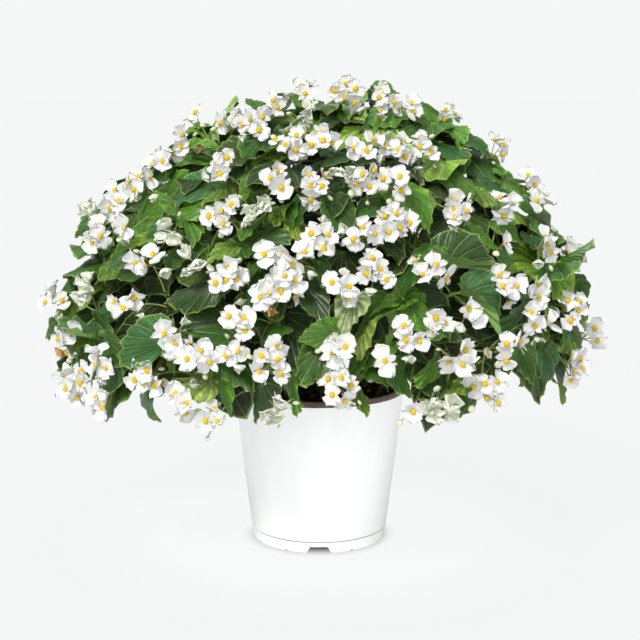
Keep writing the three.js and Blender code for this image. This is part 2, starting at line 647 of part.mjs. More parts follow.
function leafSolid(leaf, attempt, at, rooted) {
  const part = { points: [], faces: [] };
  const item = leaf.item;
  const along = leaf.tip.clone().sub(leaf.base);
  const length = Math.min(70, Math.max(34, along.length())) * (1 - 0.012 * attempt);
  const normal = leaf.normal.clone();
  const loose = attempt / LEAF_TRIES;
  const lean = anyWay(item, 50 + attempt, 40);
  normal.addScaledVector(lean, 2 * loose).normalize();
  along.normalize().addScaledVector(lean.cross(normal), 2 * loose).normalize();
  normal.addScaledVector(along, -normal.dot(along));
  const frame = frameOf(normal, along);
  const base = leaf.base.clone().addScaledVector(outward(leaf.base), (attempt % 5) * -4);
  if (at.clone().sub(base).dot(frame.z) > -PETIOLE_UNDER) return null;
  const middle = base.clone().addScaledVector(frame.z, -PETIOLE_UNDER).lerp(at, 0.3);
  const root = ring(part, rooted ? at : middle, middle.clone().sub(at), PETIOLE_RADIUS, 0.4);
  const knee = () => ring(part, middle, base.clone().sub(at), PETIOLE_RADIUS, 0.4);
  const bend = rooted ? sides(part, root, knee()) : root;
  const under = base.clone().addScaledVector(frame.z, -LEAF_THICK / 2);
  const corners = sides(part, bend, ring(part, under, frame.z, PETIOLE_RADIUS, 0.4));
  part.faces.push([root[2], root[1], root[0]]);
  const across = length * mix(0.92, 1.12, draw(item, 12));
  const mirror = draw(item, 13) < 0.5 ? -1 : 1;
  const shaped = mirror < 0 ? [...LEAF_OUTLINE].reverse() : LEAF_OUTLINE;
  const outline = shaped.map(([x, y, z]) => place(frame, base, mirror * across * x, length * y, length * z));
  blade(part, outline, base.clone().addScaledVector(frame.z, LEAF_THICK / 2), corners);
  if (crossesItself(part)) return null;
  return polyhedron(part);
}

function allLeaves() {
  const leaves = [];
  const add = (base, tip, normal) => leaves.push({ item: 300 + leaves.length, base, tip, normal });
  const tilted = (base, item) => {
    return outward(base).add(vec(0, 0, 0.4)).addScaledVector(anyWay(item, 7, 1), 0.5).normalize();
  };
  for (const [baseX, baseY, tipX, tipY] of LEAVES_SEEN) {
    const item = 300 + leaves.length;
    const base = seenAt(baseX, baseY, mix(26, 36, draw(item, 1)));
    add(base, seenAt(tipX, tipY, mix(12, 20, draw(item, 2))), tilted(base, item));
  }
  const turn = Math.PI * (3 - Math.sqrt(5));
  for (let k = 0; k < LEAF_PLACES; k++) {
    const item = 300 + leaves.length;
    const bearing = Math.PI + (((k * turn) % (2 * Math.PI)) - Math.PI) * HIDDEN_SHARE;
    const z = mix(DOME_TOP - 14, skirt(bearing) + 26, (k + draw(item, 2)) / LEAF_PLACES);
    const base = onDome(bearing, z, mix(...LEAF_DEPTH, draw(item, 1)));
    const normal = tilted(base, item);
    const swing = mix(-0.8, 0.8, draw(item, 3));
    const along = vec(Math.sin(bearing + swing), -Math.cos(bearing + swing), -1.3);
    along.addScaledVector(normal, -along.dot(normal)).normalize().addScaledVector(outward(base), LEAF_RISE);
    along.setLength(mix(...LEAF_LENGTH, draw(item, 4)));
    add(base, base.clone().add(along), normal);
  }
  return leaves;
}

// ---------- putting the plant together ----------
const begonia = new THREE.Group();
const look = (color, roughness) => new THREE.MeshStandardMaterial({ color, roughness, metalness: 0 });
const potPlastic = look("#eeeeef", 0.42);
const mixCrumbs = look("#2a1b12", 0.95);
const leafGreen = look("#2f6b32", 0.4);
const petalWhite = look("#fafaf5", 0.6);

function addNode(name, solid, material) {
  const mesh = new THREE.Mesh(geometryOf(solid), material);
  mesh.name = name;
  begonia.add(mesh);
}

const twoDigits = (number) => String(number).padStart(2, "0");

const limbs = stemsAndShoots();
const pot = oneBody(potSolid());
const soil = oneBody(soilSolid(limbs));
addNode("pot", pot, potPlastic);
addNode("potting_mix", soil, mixCrumbs);
remember(pot, "pot");
remember(soil, "mix");

const plants = [];
for (const limb of limbs) {
  limb.solid = limbSolid(limb, 0);
  remember(limb.solid, `plant ${limb.plant}`);
  (plants[limb.plant] ??= []).push(limb.solid);
}

const groups = sprays(allHeads());
groups.forEach((group, spray) => {
  for (const head of group) {
    for (let attempt = 0; attempt < HEAD_TRIES && !head.solid; attempt++) {
      head.spin = draw(head.item, 30 + attempt) * 2 * Math.PI;
      if (attempt === HEAD_TRIES / 2) head.open = Math.max(1, head.open - 1);
      const solid = headSolid(head);
      if (clear(solid)) head.solid = solid;
    }
    if (head.solid) remember(head.solid, `spray ${spray}`);
  }
});

// A leaf joins the stem nearest to it, in the first of its tries that keeps clear of all else.
const blades = [];
function addLeaf(leaf) {
  const { limb, t } = nearestLimb(limbs, leaf.base.clone().addScaledVector(leaf.normal, -22));
  const owner = `plant ${limb.plant}`;
  const own = (blades[limb.plant] ??= []);
  for (let attempt = 0; attempt < LEAF_TRIES; attempt++) {
    const slide = t + mix(-0.2, 0.1, draw(leaf.item, 173 + attempt));
    const at = limb.curve.getPoint(Math.max(limb.from, Math.min(0.98, slide)));
    const whole = leafSolid(leaf, attempt, at, true);
    if (!whole || !clear(whole, owner)) continue;
    const blade = leafSolid(leaf, attempt, at, false);
    if (!blade || own.some((other) => blade.minGap(other, GAP) < GAP)) continue;
    own.push(blade);
    remember(whole, owner);
    plants[limb.plant].push(whole);
    return;
  }
}

// A group that no fork can serve is divided in two.
let flowerSprays = 0;
function addSpray(group, owner) {
  if (group.length === 0) return;
  const solid = spraySolid(group, owner, limbs);
  if (solid) {
    remember(solid, owner);
    flowerSprays++;
    addNode(`flower_spray_${twoDigits(flowerSprays)}`, solid, petalWhite);
    return;
  }
  if (group.length > 1) {
    addSpray(group.slice(0, 1), owner);
    addSpray(group.slice(1), owner);
  }
}

const leaves = allLeaves();
leaves.slice(0, LEAVES_SEEN.length).forEach(addLeaf);
groups.forEach((group, spray) => addSpray(group.filter((head) => head.solid), `spray ${spray}`));
leaves.slice(LEAVES_SEEN.length).forEach(addLeaf);
plants.forEach((pieces, plant) => addNode(`leafy_stem_${twoDigits(plant + 1)}`, joined(pieces), leafGreen));

export default begonia;
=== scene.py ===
import math

import bmesh
import bpy
import numpy as np
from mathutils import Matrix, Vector, noise


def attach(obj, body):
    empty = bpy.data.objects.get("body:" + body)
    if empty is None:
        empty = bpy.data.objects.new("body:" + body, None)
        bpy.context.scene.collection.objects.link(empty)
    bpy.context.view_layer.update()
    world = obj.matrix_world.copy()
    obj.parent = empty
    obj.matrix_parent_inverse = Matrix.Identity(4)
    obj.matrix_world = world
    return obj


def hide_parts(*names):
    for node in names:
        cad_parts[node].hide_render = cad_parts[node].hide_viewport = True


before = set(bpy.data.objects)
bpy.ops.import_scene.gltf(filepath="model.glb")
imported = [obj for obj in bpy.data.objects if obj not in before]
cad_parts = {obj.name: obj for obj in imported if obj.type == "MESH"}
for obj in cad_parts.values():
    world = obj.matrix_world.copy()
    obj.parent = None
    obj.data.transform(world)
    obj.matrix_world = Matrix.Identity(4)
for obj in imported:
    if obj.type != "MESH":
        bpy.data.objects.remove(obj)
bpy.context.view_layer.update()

# ---------- the studio ----------
# A white photographer's table under broad soft light. The camera stands level with the top of the
# plant and is tipped down a little, as the ellipses of the pot's lip and foot show.
EYE = np.array((0.0, -1.35, 0.439))
EYE_PITCH = math.radians(9.52)
PICTURE = 640  # pixels across and down
FOCAL = 1420  # in pixels
PLANT_AXIS_X = 319  # where the plant's axis and the middle of the frame lie
FRAME_MIDDLE_Y = 320
SENSOR = 36.0
TABLE_HALF = 40.0
TABLE_WHITE = "#F6F8F7"
LAMPS = {  # strength, how it is turned about X, Y and Z, and how wide it looks, in degrees
    "light_above": (2.15, (40, -26, 0), 14),
    "light_front": (0.98, (78, 8, 0), 50),
    "light_behind": (0.55, (-80, 0, 12), 50),
    "light_on_pot_left": (1.0, (85, 0, -46), 40),
    "light_on_pot_right": (1.29, (85, 0, 58), 40),
    "light_on_pot_behind": (1.3, (-85, 0, 10), 50),
}


def linear(colour):
    """An sRGB hex colour as the linear numbers that the shaders take."""
    shares = [int(colour[i : i + 2], 16) / 255 for i in (1, 3, 5)]
    return (*[c / 12.92 if c <= 0.04045 else ((c + 0.055) / 1.055) ** 2.4 for c in shares], 1.0)


def wire(made, inputs):
    """Gives the inputs of a node, by name or in order, a value or a link."""
    for name, value in inputs.items() if isinstance(inputs, dict) else enumerate(inputs):
        if isinstance(value, bpy.types.NodeSocket):
            made.id_data.links.new(value, made.inputs[name])
        else:
            made.inputs[name].default_value = value


def node(tree, kind, inputs=(), stops=None, out=0, **settings):
    """Adds a node with its settings and inputs, and gives back an output, or all for out=None."""
    made = tree.nodes.new("ShaderNode" + kind)
    for name, value in settings.items():
        setattr(made, name, value)
    wire(made, inputs)
    if stops:
        ramp = made.color_ramp.elements
        for place, _ in stops[1:-1]:
            ramp.new(place)
        for element, (place, colour) in zip(ramp, stops):
            element.position = place
            element.color = linear(colour)
    return made.outputs if out is None else made.outputs[out]


def finish(name, surface):
    """A new material, its node tree and its shader, with what is the same all over set on it."""
    made = bpy.data.materials.new(name)
    made.use_nodes = True
    shader = made.node_tree.nodes["Principled BSDF"]
    wire(shader, surface)
    return made, made.node_tree, shader


def stand(name, data):
    """Puts a new object into the scene."""
    made = bpy.data.objects.new(name, data)
    bpy.context.scene.collection.objects.link(made)
    return made


def mesh_of(name, points, faces):
    """A mesh from its points and faces."""
    mesh = bpy.data.meshes.new(name)
    mesh.from_pydata(points, [], faces)
    return mesh


camera = stand("camera", bpy.data.cameras.new("camera"))
camera.location = EYE
camera.rotation_euler = (math.pi / 2 - EYE_PITCH, 0, 0)
camera.data.sensor_width = SENSOR
camera.data.lens = FOCAL * SENSOR / PICTURE
camera.data.shift_x = (PICTURE / 2 - PLANT_AXIS_X) / PICTURE
camera.data.clip_end = 5 * TABLE_HALF
bpy.context.scene.camera = camera

for name, (strength, turns, spread) in LAMPS.items():
    lamp = stand(name, bpy.data.lights.new(name, "SUN"))
    lamp.data.energy = strength
    lamp.data.angle = math.radians(spread)
    lamp.rotation_euler = [math.radians(a) for a in turns]

# Dim below and bright above, and plain white where the camera looks straight at it.
world = bpy.data.worlds.new("white room")
bpy.context.scene.world = world
world.use_nodes = True
room = world.node_tree
skyward = node(room, "SeparateXYZ", [node(room, "TexCoord", out="Generated")], out="Z")
heights = [(0.0, "#5F6163"), (0.6, "#868A8E"), (0.88, "#F0F4FA"), (1.0, "#F6F9FF")]
ceiling = node(room, "ValToRGB", [skyward], stops=heights)
room_light = node(room, "Background", {"Color": ceiling, "Strength": 1.1})
room_wall = node(room, "Background", {"Color": linear(TABLE_WHITE), "Strength": 1.0})
seen_straight = node(room, "LightPath", out="Is Camera Ray")
blend = node(room, "MixShader", (seen_straight, room_light, room_wall))
wire(room.nodes["World Output"], {"Surface": blend})

corners = [(x * TABLE_HALF, y * TABLE_HALF, 0) for x, y in ((-1, -1), (1, -1), (1, 1), (-1, 1))]
table = stand("table", mesh_of("table", corners, [(0, 1, 2, 3)]))
# White acrylic sheet lit from below: nearly all of its light is its own, so shadows stay faint.
acrylic, tree, shader = finish("opal acrylic, lit from below", {"Base Color": linear("#353535")})
wire(shader, {"Roughness": 1.0, "Specular IOR Level": 0.0, "Emission Strength": 0.92})
# Painted shadow: the glow is painted out under the pot, and a narrow soft painted shade runs round
# its foot.
spot = node(tree, "TexCoord", out="Object")
from_middle = node(tree, "VectorMath", [spot], out="Value", operation="LENGTH")
quarter_metres = node(tree, "Math", (from_middle, 4.0), operation="MULTIPLY")
glow_with_painted_shadow = [
    (0.176, "#303030"), (0.2, "#606060"), (0.232, "#B0B0B0"), (0.258, "#DEDEDE"), (0.28, "#F5F7F6"),
    (0.308, "#FDFFFE"), (0.6, "#FDFFFE"), (1.0, "#F9FBFA"),
]
wire(shader, {"Emission Color": node(tree, "ValToRGB", [quarter_metres], stops=glow_with_painted_shadow)})
# Only the eye sees its glow. What it sends up to the pot and the leaves is 80% of what falls on it,
# as a plain diffuse node does.
matt_white = node(tree, "BsdfDiffuse")
seen_straight = node(tree, "LightPath", out="Is Camera Ray")
blend = node(tree, "MixShader", (seen_straight, matt_white, shader.outputs[0]))
wire(tree.nodes["Material Output"], {"Surface": blend})
table.data.materials.append(acrylic)
bpy.context.scene.view_settings.view_transform = "Standard"
bpy.context.scene.view_settings.look = "None"

# ---------- the pot ----------
# A thin nursery pot, injection moulded in two layers of polypropylene: white outside, brown within
# and over the lip. It stands on a foot ring that four drain channels and small notches break.
POT_HEIGHT = 0.150
RIM_RADIUS = 0.0825
LIP_HEIGHT = 0.0055
FOOT_RADIUS = 0.0643
FOOT_HEIGHT = 0.0105
FLOOR_LIFT = 0.007
WALL = 0.0023
POT_SEGMENTS = 192
EDGE = 0.0006  # how far a moulded edge is rounded
SHARP = math.radians(32)  # the least angle that stays an edge

floor_top = FLOOR_LIFT + WALL
lip_bottom = POT_HEIGHT - LIP_HEIGHT
wall_foot = FOOT_RADIUS + 0.002
wall_top = RIM_RADIUS - 0.0008


def inside(z):
    """Radius of the pot's inner face at a height."""
    return wall_foot + (wall_top - wall_foot) * (z - floor_top) / (POT_HEIGHT - floor_top) - WALL


def add_object(name, mesh, materials, replaced):
    """Puts a finished mesh into the scene as a piece of the plant or its pot."""
    made = stand(name, mesh)
    for material in materials:
        mesh.materials.append(material)
    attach(made, "root")
    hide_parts(replaced)
    return made


def circle(radius, count):
    """Evenly spaced points round the Z axis, from +X on."""
    turns = [2 * math.pi * k / count for k in range(count)]
    return [(radius * math.cos(a), radius * math.sin(a)) for a in turns]


def turned(profile, segments):
    """A closed surface turned about Z from (radius, height) points that start and end on it."""
    rows = profile[1:-1]
    rings = [(x, y, z) for r, z in rows for x, y in circle(r, segments)]
    points = [(0, 0, profile[0][1]), *rings, (0, 0, profile[-1][1])]
    faces = []
    for k in range(segments):
        n = (k + 1) % segments
        faces.append((0, 1 + n, 1 + k))
        for row in range(len(rows) - 1):
            a, b = 1 + row * segments, 1 + (row + 1) * segments
            faces.append((a + k, a + n, b + n, b + k))
        top = 1 + (len(rows) - 1) * segments
        faces.append((top + k, top + n, len(points) - 1))
    return points, faces


POT_PROFILE = [
    (0, FLOOR_LIFT),
    (FOOT_RADIUS - WALL, FLOOR_LIFT),
    (FOOT_RADIUS - WALL, EDGE),
    (FOOT_RADIUS - WALL + EDGE, 0),
    (FOOT_RADIUS - EDGE, 0),
    (FOOT_RADIUS, EDGE),
    (FOOT_RADIUS + 0.0010, FOOT_HEIGHT - 0.0012),
    (FOOT_RADIUS + 0.0008, FOOT_HEIGHT - 0.0006),
    (FOOT_RADIUS + 0.0001, FOOT_HEIGHT - 0.0003),
    (FOOT_RADIUS + 0.0001, FOOT_HEIGHT + 0.0003),
    (FOOT_RADIUS + 0.0010, FOOT_HEIGHT + 0.0006),
    (FOOT_RADIUS + 0.0013, FOOT_HEIGHT + 0.0012),
    (wall_foot, FOOT_HEIGHT + 0.0050),
    (wall_foot + (wall_top - wall_foot) * 0.5, (FOOT_HEIGHT + lip_bottom) / 2),
    (wall_top - 0.0001, lip_bottom - 0.0008),
    (wall_top, lip_bottom - 0.0001),
    (wall_top + 0.0001, lip_bottom + 0.0003),
    (RIM_RADIUS - 0.0002, lip_bottom + 0.0006),
    (RIM_RADIUS, lip_bottom + 0.0011),
    (RIM_RADIUS, POT_HEIGHT - 0.0008),
    (RIM_RADIUS - 0.0003, POT_HEIGHT - 0.0002),
    (RIM_RADIUS - 0.0009, POT_HEIGHT),
    (inside(POT_HEIGHT) + 0.0006, POT_HEIGHT),
    (inside(POT_HEIGHT), POT_HEIGHT - EDGE),
    (inside(floor_top), floor_top),
    (0, floor_top),
]


def prism(outline, start, end, turn, upright=False):
    """A cutter: an outline drawn out along Y, or along Z where upright, then turned about Z."""
    n = len(outline)
    c, s = math.cos(turn), math.sin(turn)
    corners = []
    for drawn in (start, end):
        for a, b in outline:
            x, y, z = (a, b, drawn) if upright else (a, drawn, b)
            corners.append((x * c - y * s, x * s + y * c, z))
    walls = [(k, (k + 1) % n, n + (k + 1) % n, n + k) for k in range(n)]
    faces = [tuple(reversed(range(n))), tuple(range(n, 2 * n)), *walls]
    return corners, faces if upright else [face[::-1] for face in faces]


def cut(mesh, cutters):
    """Takes cutters out of a mesh."""
    base = stand("being_cut", mesh)
    tools = [stand("cutter", mesh_of("cutter", corners, walls)) for corners, walls in cutters]
    for tool in tools:
        step = base.modifiers.new("cut", "BOOLEAN")
        step.object = tool
        step.solver = "EXACT"
    cut_base = base.evaluated_get(bpy.context.evaluated_depsgraph_get())
    shaped = bpy.data.meshes.new_from_object(cut_base)
    for gone in (base, *tools):
        bpy.data.objects.remove(gone)
    return shaped


CHANNEL = [(-0.0125, -0.001), (0.0125, -0.001), (0.0083, 0.0062), (-0.0083, 0.0062)]
CHANNEL_REACH = 0.010  # out of the foot ring and into it
NOTCH = [(-0.0026, -0.001), (0.0026, -0.001), (0.0012, 0.0017), (-0.0012, 0.0017)]
NOTCH_REACH = (0.005, 0.003)
NOTCH_TURN = math.radians(29)  # to either side of a channel
DRAIN_RADIUS = 0.006
DRAIN_OUT = 0.6 * FOOT_RADIUS
DRAIN_CUT = (0.004, 0.014)  # from under the floor to over it

drain_hole = [(x, y - DRAIN_OUT) for x, y in circle(DRAIN_RADIUS, 16)]
cutters = []
for quarter in range(4):
    turn = quarter * math.pi / 2
    cutters.append(prism(CHANNEL, -CHANNEL_REACH - FOOT_RADIUS, CHANNEL_REACH - FOOT_RADIUS, turn))
    for side in (-1, 1):
        near, far = (reach - FOOT_RADIUS for reach in (-NOTCH_REACH[0], NOTCH_REACH[1]))
        cutters.append(prism(NOTCH, near, far, turn + side * NOTCH_TURN))
    cutters.append(prism(drain_hole, *DRAIN_CUT, turn + math.pi / 4, upright=True))
pot_mesh = cut(mesh_of("pot", *turned(POT_PROFILE, POT_SEGMENTS)), cutters)
pot_mesh.materials.clear()
for face in pot_mesh.polygons:
    x, y, z = face.center
    within = z > floor_top - 0.0001 and math.hypot(x, y) < inside(z) + WALL / 5
    face.material_index = 1 if within or z > lip_bottom + 0.0001 else 0
pot_mesh.shade_smooth()
pot_mesh.set_sharp_from_angle(angle=SHARP)

# Moulded polypropylene: satin, with the faint ripples that melt leaves as it flows up a mould. The
# eye gets a soft broad highlight that wavers a little over 17 mm across and 110 mm up, and
# mottling a millimetre fine.
white_plastic, tree, shader = finish(
    "white polypropylene, moulded", {"IOR": 1.49, "Coat Weight": 0.12, "Coat Roughness": 0.2}
)
place = node(tree, "TexCoord", out="Object")
upright = node(tree, "Mapping", {"Vector": place, "Scale": (60, 60, 9)})
ripples = node(tree, "TexNoise", {"Vector": upright, "Scale": 1.0, "Detail": 3.0})
mottle = node(tree, "TexNoise", {"Vector": place, "Scale": 900.0, "Detail": 2.0})
shade = node(tree, "ValToRGB", [ripples], stops=[(0.3, "#F6F6F6"), (0.7, "#FCFCFB")])
gloss = node(tree, "MapRange", {"Value": mottle, "To Min": 0.34, "To Max": 0.46})
height = node(tree, "Math", (ripples, mottle), operation="ADD")
bump = node(tree, "Bump", {"Height": height, "Strength": 0.12, "Distance": 0.0004})
wire(shader, {"Base Color": shade, "Roughness": gloss, "Normal": bump})

# The brown layer has a coarser satin, scuffed paler in 8 mm patches, as where pots are nested.
brown_plastic, tree, shader = finish("brown polypropylene, moulded", {"Roughness": 0.5, "IOR": 1.49})
place = node(tree, "TexCoord", out="Object")
scuffs = node(tree, "TexNoise", {"Vector": place, "Scale": 130.0, "Detail": 5.0, "Roughness": 0.65})
scuffed = [(0.35, "#43332F"), (0.55, "#54433E"), (0.75, "#6F5E59")]
shade = node(tree, "ValToRGB", [scuffs], stops=scuffed)
bump = node(tree, "Bump", {"Height": scuffs, "Strength": 0.25, "Distance": 0.0003})
wire(shader, {"Base Color": shade, "Normal": bump})
pot = add_object("nursery_pot", pot_mesh, (white_plastic, brown_plastic), "pot")
# The lamps on the pot stand low and have flags round them: they reach the pot alone, from under
# the leaves.
flagged = bpy.data.collections.new("lit_by_pot_lamps")
flagged.objects.link(pot)
for name in ("light_on_pot_left", "light_on_pot_right", "light_on_pot_behind"):
    bpy.data.objects[name].light_linking.receiver_collection = flagged
    bpy.data.objects[name].light_linking.blocker_collection = flagged

# ---------- the potting mix ----------
# Damp composted bark and peat, filled loosely to a finger under the lip: a lumpy bed with chips
# lying on it.
SOIL_TOP = POT_HEIGHT - 0.012
GAP = 0.0004
BED_RINGS = 26
BED_SPOKES = 90
MOUND = 0.0022  # how much higher the mix lies in the middle than at MOUND_RADIUS
MOUND_RADIUS = 0.08
LUMPS, LUMP_HEIGHT = 90, 0.0022  # how many to a metre, and how high
CRUMBS, CRUMB_HEIGHT = 330, 0.0011
CHIPS = 900
CHIP_HALF = (0.0010, 0.0044)  # half the length of a chip
CHIP_WIDTH = (0.3, 0.8)  # of its length
CHIP_THICKNESS = (0.16, 0.36)
CHIP_CORNERS = (
    (-1, -0.7, -1), (0.8, -1, -1), (1, 0.6, -1), (-0.7, 1, -1),
    (-0.8, -0.6, 1), (0.6, -0.8, 1), (0.9, 0.5, 1), (-0.6, 0.7, 1),
)
CHIP_FACES = ((3, 2, 1, 0), (4, 5, 6, 7), (0, 1, 5, 4), (1, 2, 6, 5), (2, 3, 7, 6), (3, 0, 4, 7))


def draw(item, use):
    """A draw from 0 to 1 that is the same on each run: item is counted, use tells draws apart."""
    wave = math.sin(item * 12.9898 + use * 78.233 + 4.1) * 43758.5453
    return wave - math.floor(wave)


def mix(a, b, t):
    """What lies between a and b, at a share t of the way."""
    return a + (b - a) * t


def unit(v):
    """A vector brought to length 1."""
    return v / max(1e-9, np.linalg.norm(v))


def bed_height(x, y):
    """Height of the mix at a place: a low mound with lumps and crumbs on it."""
    lumps = noise.noise(Vector((x * LUMPS, y * LUMPS, 0.3))) * LUMP_HEIGHT
    crumbs = noise.noise(Vector((x * CRUMBS, y * CRUMBS, 5.1))) * CRUMB_HEIGHT
    return SOIL_TOP + MOUND * (1 - (math.hypot(x, y) / MOUND_RADIUS) ** 2) + lumps + crumbs


bed_edge = inside(SOIL_TOP) - GAP
points, faces = [(0, 0, bed_height(0, 0))], []
for ring in range(1, BED_RINGS + 1):
    points += [(x, y, bed_height(x, y)) for x, y in circle(bed_edge * ring / BED_RINGS, BED_SPOKES)]
# The bed's side and base inside the pot.
rim_start, base_start = 1 + (BED_RINGS - 1) * BED_SPOKES, len(points)
points += [(x, y, floor_top + GAP) for x, y in circle(inside(floor_top) - GAP, BED_SPOKES)]
for k in range(BED_SPOKES):
    n = (k + 1) % BED_SPOKES
    faces.append((0, 1 + k, 1 + n))
    for ring in range(BED_RINGS - 1):
        a, b = 1 + ring * BED_SPOKES, 1 + (ring + 1) * BED_SPOKES
        faces.append((a + k, b + k, b + n, a + n))
for k in range(BED_SPOKES):
    n = (k + 1) % BED_SPOKES
    faces.append((rim_start + k, base_start + k, base_start + n, rim_start + n))
faces.append(tuple(reversed(range(base_start, base_start + BED_SPOKES))))
# Chips: flat, split-looking pieces from 2 to 9 mm long, tipped at all angles.
for chip in range(CHIPS):
    r = bed_edge * 0.97 * math.sqrt(draw(chip, 1))
    a = 2 * math.pi * draw(chip, 2)
    x, y = r * math.cos(a), r * math.sin(a)
    shape = (1, mix(*CHIP_WIDTH, draw(chip, 4)), mix(*CHIP_THICKNESS, draw(chip, 5)))
    half = np.array(shape) * mix(*CHIP_HALF, draw(chip, 3) ** 2)
    turn, tip, roll = 6.28 * draw(chip, 6), 0.7 * (draw(chip, 7) - 0.5), 0.9 * (draw(chip, 8) - 0.5)
    across = unit(np.array((math.cos(turn), math.sin(turn), tip)))
    up = np.array((-roll * math.sin(turn), roll * math.cos(turn), 1.0))
    up = unit(up - across * up.dot(across))
    ways = np.array((across, np.cross(up, across), up))
    middle = np.array((x, y, bed_height(x, y) + half[2] * 0.6))
    first = len(points)
    for i, corner in enumerate(CHIP_CORNERS):
        wobble = 0.75 + 0.4 * draw(chip, 20 + i)
        points.append(tuple(middle + wobble * (corner * half) @ ways))
    faces += [tuple(first + i for i in face) for face in CHIP_FACES]

# Damp bark: nearly black between chips about 4 mm apart, which show red-brown and a few tan, split
# faces with a grain of 1.4 mm.
damp_bark, tree, shader = finish(
    "damp composted bark, loose", {"Roughness": 0.9, "Specular IOR Level": 0.25}
)
place = node(tree, "TexCoord", out="Object")
cells = node(tree, "TexVoronoi", {"Vector": place, "Scale": 240.0}, out="Color")
grain = node(tree, "TexNoise", {"Vector": place, "Scale": 700.0, "Detail": 6.0, "Roughness": 0.7})
pick = node(tree, "SeparateColor", [cells])
barks = [(0.0, "#150D08"), (0.5, "#26170E"), (0.78, "#4A2E1A"), (0.93, "#7A5732"), (1.0, "#A88855")]
kinds = node(tree, "ValToRGB", [pick], stops=barks)
# A MapRange takes its value, the range that comes in and the range that goes out, in this order.
worn = node(tree, "MapRange", (grain, 0.3, 0.7, 0.45, 1.25))
shade = node(tree, "VectorMath", (kinds, worn), operation="MULTIPLY")
bump = node(tree, "Bump", {"Height": grain, "Strength": 0.8, "Distance": 0.0008})
wire(shader, {"Base Color": shade, "Normal": bump})
bed_mesh = mesh_of("potting_mix", points, faces)
add_object("potting_mix_bed", bed_mesh, (damp_bark,), "potting_mix")

# ---------- the canes ----------
# Twelve jointed, juicy canes branch from the mix into shoots. They are smooth and green, blushed
# brown low down, and swell a little at each joint.
# The crown is taken as a dome, half an ellipsoid over a shallower one: its half width and half
# depth, the heights of its widest level and its top, and how far it reaches down.
DOME_WIDE = 0.265
DOME_DEEP = 0.242
DOME_MIDDLE = 0.188
DOME_TOP = 0.443
DOME_UNDER = 0.092
SKIRT_SIDE = 0.138  # height of the lowest leaves at the sides
SKIRT_FRONT = 0.196
SKIRT_OPENING = 0.5  # in radians, to either side of the front
STEM_RADIUS = 0.0036
STEM_ROOT = 0.026
STEM_BARE = 0.4  # share of a cane, from below, that bears no leaves
STEM_SPREAD = 1.25  # how much further out a cane is where it bends than where it starts
STEM_UPRIGHT = 0.85  # share of its rise up to there
# Rings of canes: their number, how far out they start, the height and depth in the dome where they
# end, their turn in degrees, and the swing and lift of their shoots.
STEM_RINGS = [
    (7, 0.050, 0.206, 0.078, 26, ((-0.24, 0.045), (0.2, -0.030), (0.02, 0.060))),
    (4, 0.027, 0.318, 0.078, 8, ((-0.4, -0.016), (0.42, 0.006), (0.06, 0.044))),
    (1, 0.003, 0.392, 0.042, 20, ((1.9, -0.004), (-2.0, 0.002))),
]
SHOOT_RADIUS = 0.0024
SHOOT_BARE = 0.25
SHOOT_FROM = (0.62, 0.74, 0.84)  # shares of the cane
SHOOT_PAST = 0.014  # how far a shoot reaches out past its cane's end
SHOOT_ARCH = 0.008
JOINT_STEP = 0.038  # between the swollen joints of a cane
JOINT_SWELL = 0.22
JOINT_SHARE = 0.09  # of a step that a joint takes up
BLUSH = 0.09  # height over the mix at which the brown is gone
TAPER = (1.05, 0.8)
LIMB_STEP = 0.03  # share of a limb from one place that can bear something to the next


def outward(p):
    """The way straight out of the plant's dome near a point."""
    half = DOME_TOP - DOME_MIDDLE if p[2] > DOME_MIDDLE else DOME_UNDER * 2
    return unit(np.array((p[0] / DOME_WIDE**2, p[1] / DOME_DEEP**2, (p[2] - DOME_MIDDLE) / half**2)))


def on_dome(bearing, z, depth):
    """A point of the dome at a bearing (0 at the front) and height, moved in by depth."""
    rise = (z - DOME_MIDDLE) / (DOME_TOP - DOME_MIDDLE if z > DOME_MIDDLE else DOME_UNDER)
    share = math.sqrt(max(0, 1 - rise * rise))
    p = np.array((DOME_WIDE * share * math.sin(bearing), -DOME_DEEP * share * math.cos(bearing), z))
    return p - outward(p) * depth


def sight_through(x, y):
    """The way from the eye through a pixel."""
    across, up = (x - PLANT_AXIS_X) / FOCAL, (FRAME_MIDDLE_Y - y) / FOCAL
    sin, cos = math.sin(EYE_PITCH), math.cos(EYE_PITCH)
    return np.array((across, cos + up * sin, up * cos - sin))


def seen_at(x, y, depth):
    """Where the sight line through a pixel meets the dome drawn in by depth, or comes nearest."""
    sight = sight_through(x, y)
    middle = np.array((0, 0, DOME_MIDDLE))

    def meet(half):
        size = np.array((DOME_WIDE - depth, DOME_DEEP - depth, half - depth))
        start, way = (EYE - middle) / size, sight / size
        a, b, c = way.dot(way), start.dot(way), start.dot(start) - 1
        root = math.sqrt(max(0, b * b - a * c))
        return unit(start + way * (-b - root) / a) * size + middle

    above = meet(DOME_TOP - DOME_MIDDLE)
    return above if above[2] >= DOME_MIDDLE else meet(DOME_UNDER + depth)


def shown_at(x, y, depth):
    """The same, but less far in where the line of sight would pass by: at the plant's outline."""
    for share in (1, 0.8, 0.6, 0.4, 0.2):
        p = seen_at(x, y, depth * share)
        if np.linalg.norm(np.cross(p - EYE, unit(sight_through(x, y)))) < 0.001:
            break
    return p


def skirt(bearing):
    """Height of the lowest leaves at a bearing: they part over the front of the pot."""
    turned_off = abs(math.atan2(math.sin(bearing), math.cos(bearing)))
    t = min(1, turned_off / SKIRT_OPENING)
    return mix(SKIRT_FRONT, SKIRT_SIDE, t * t * (3 - 2 * t))


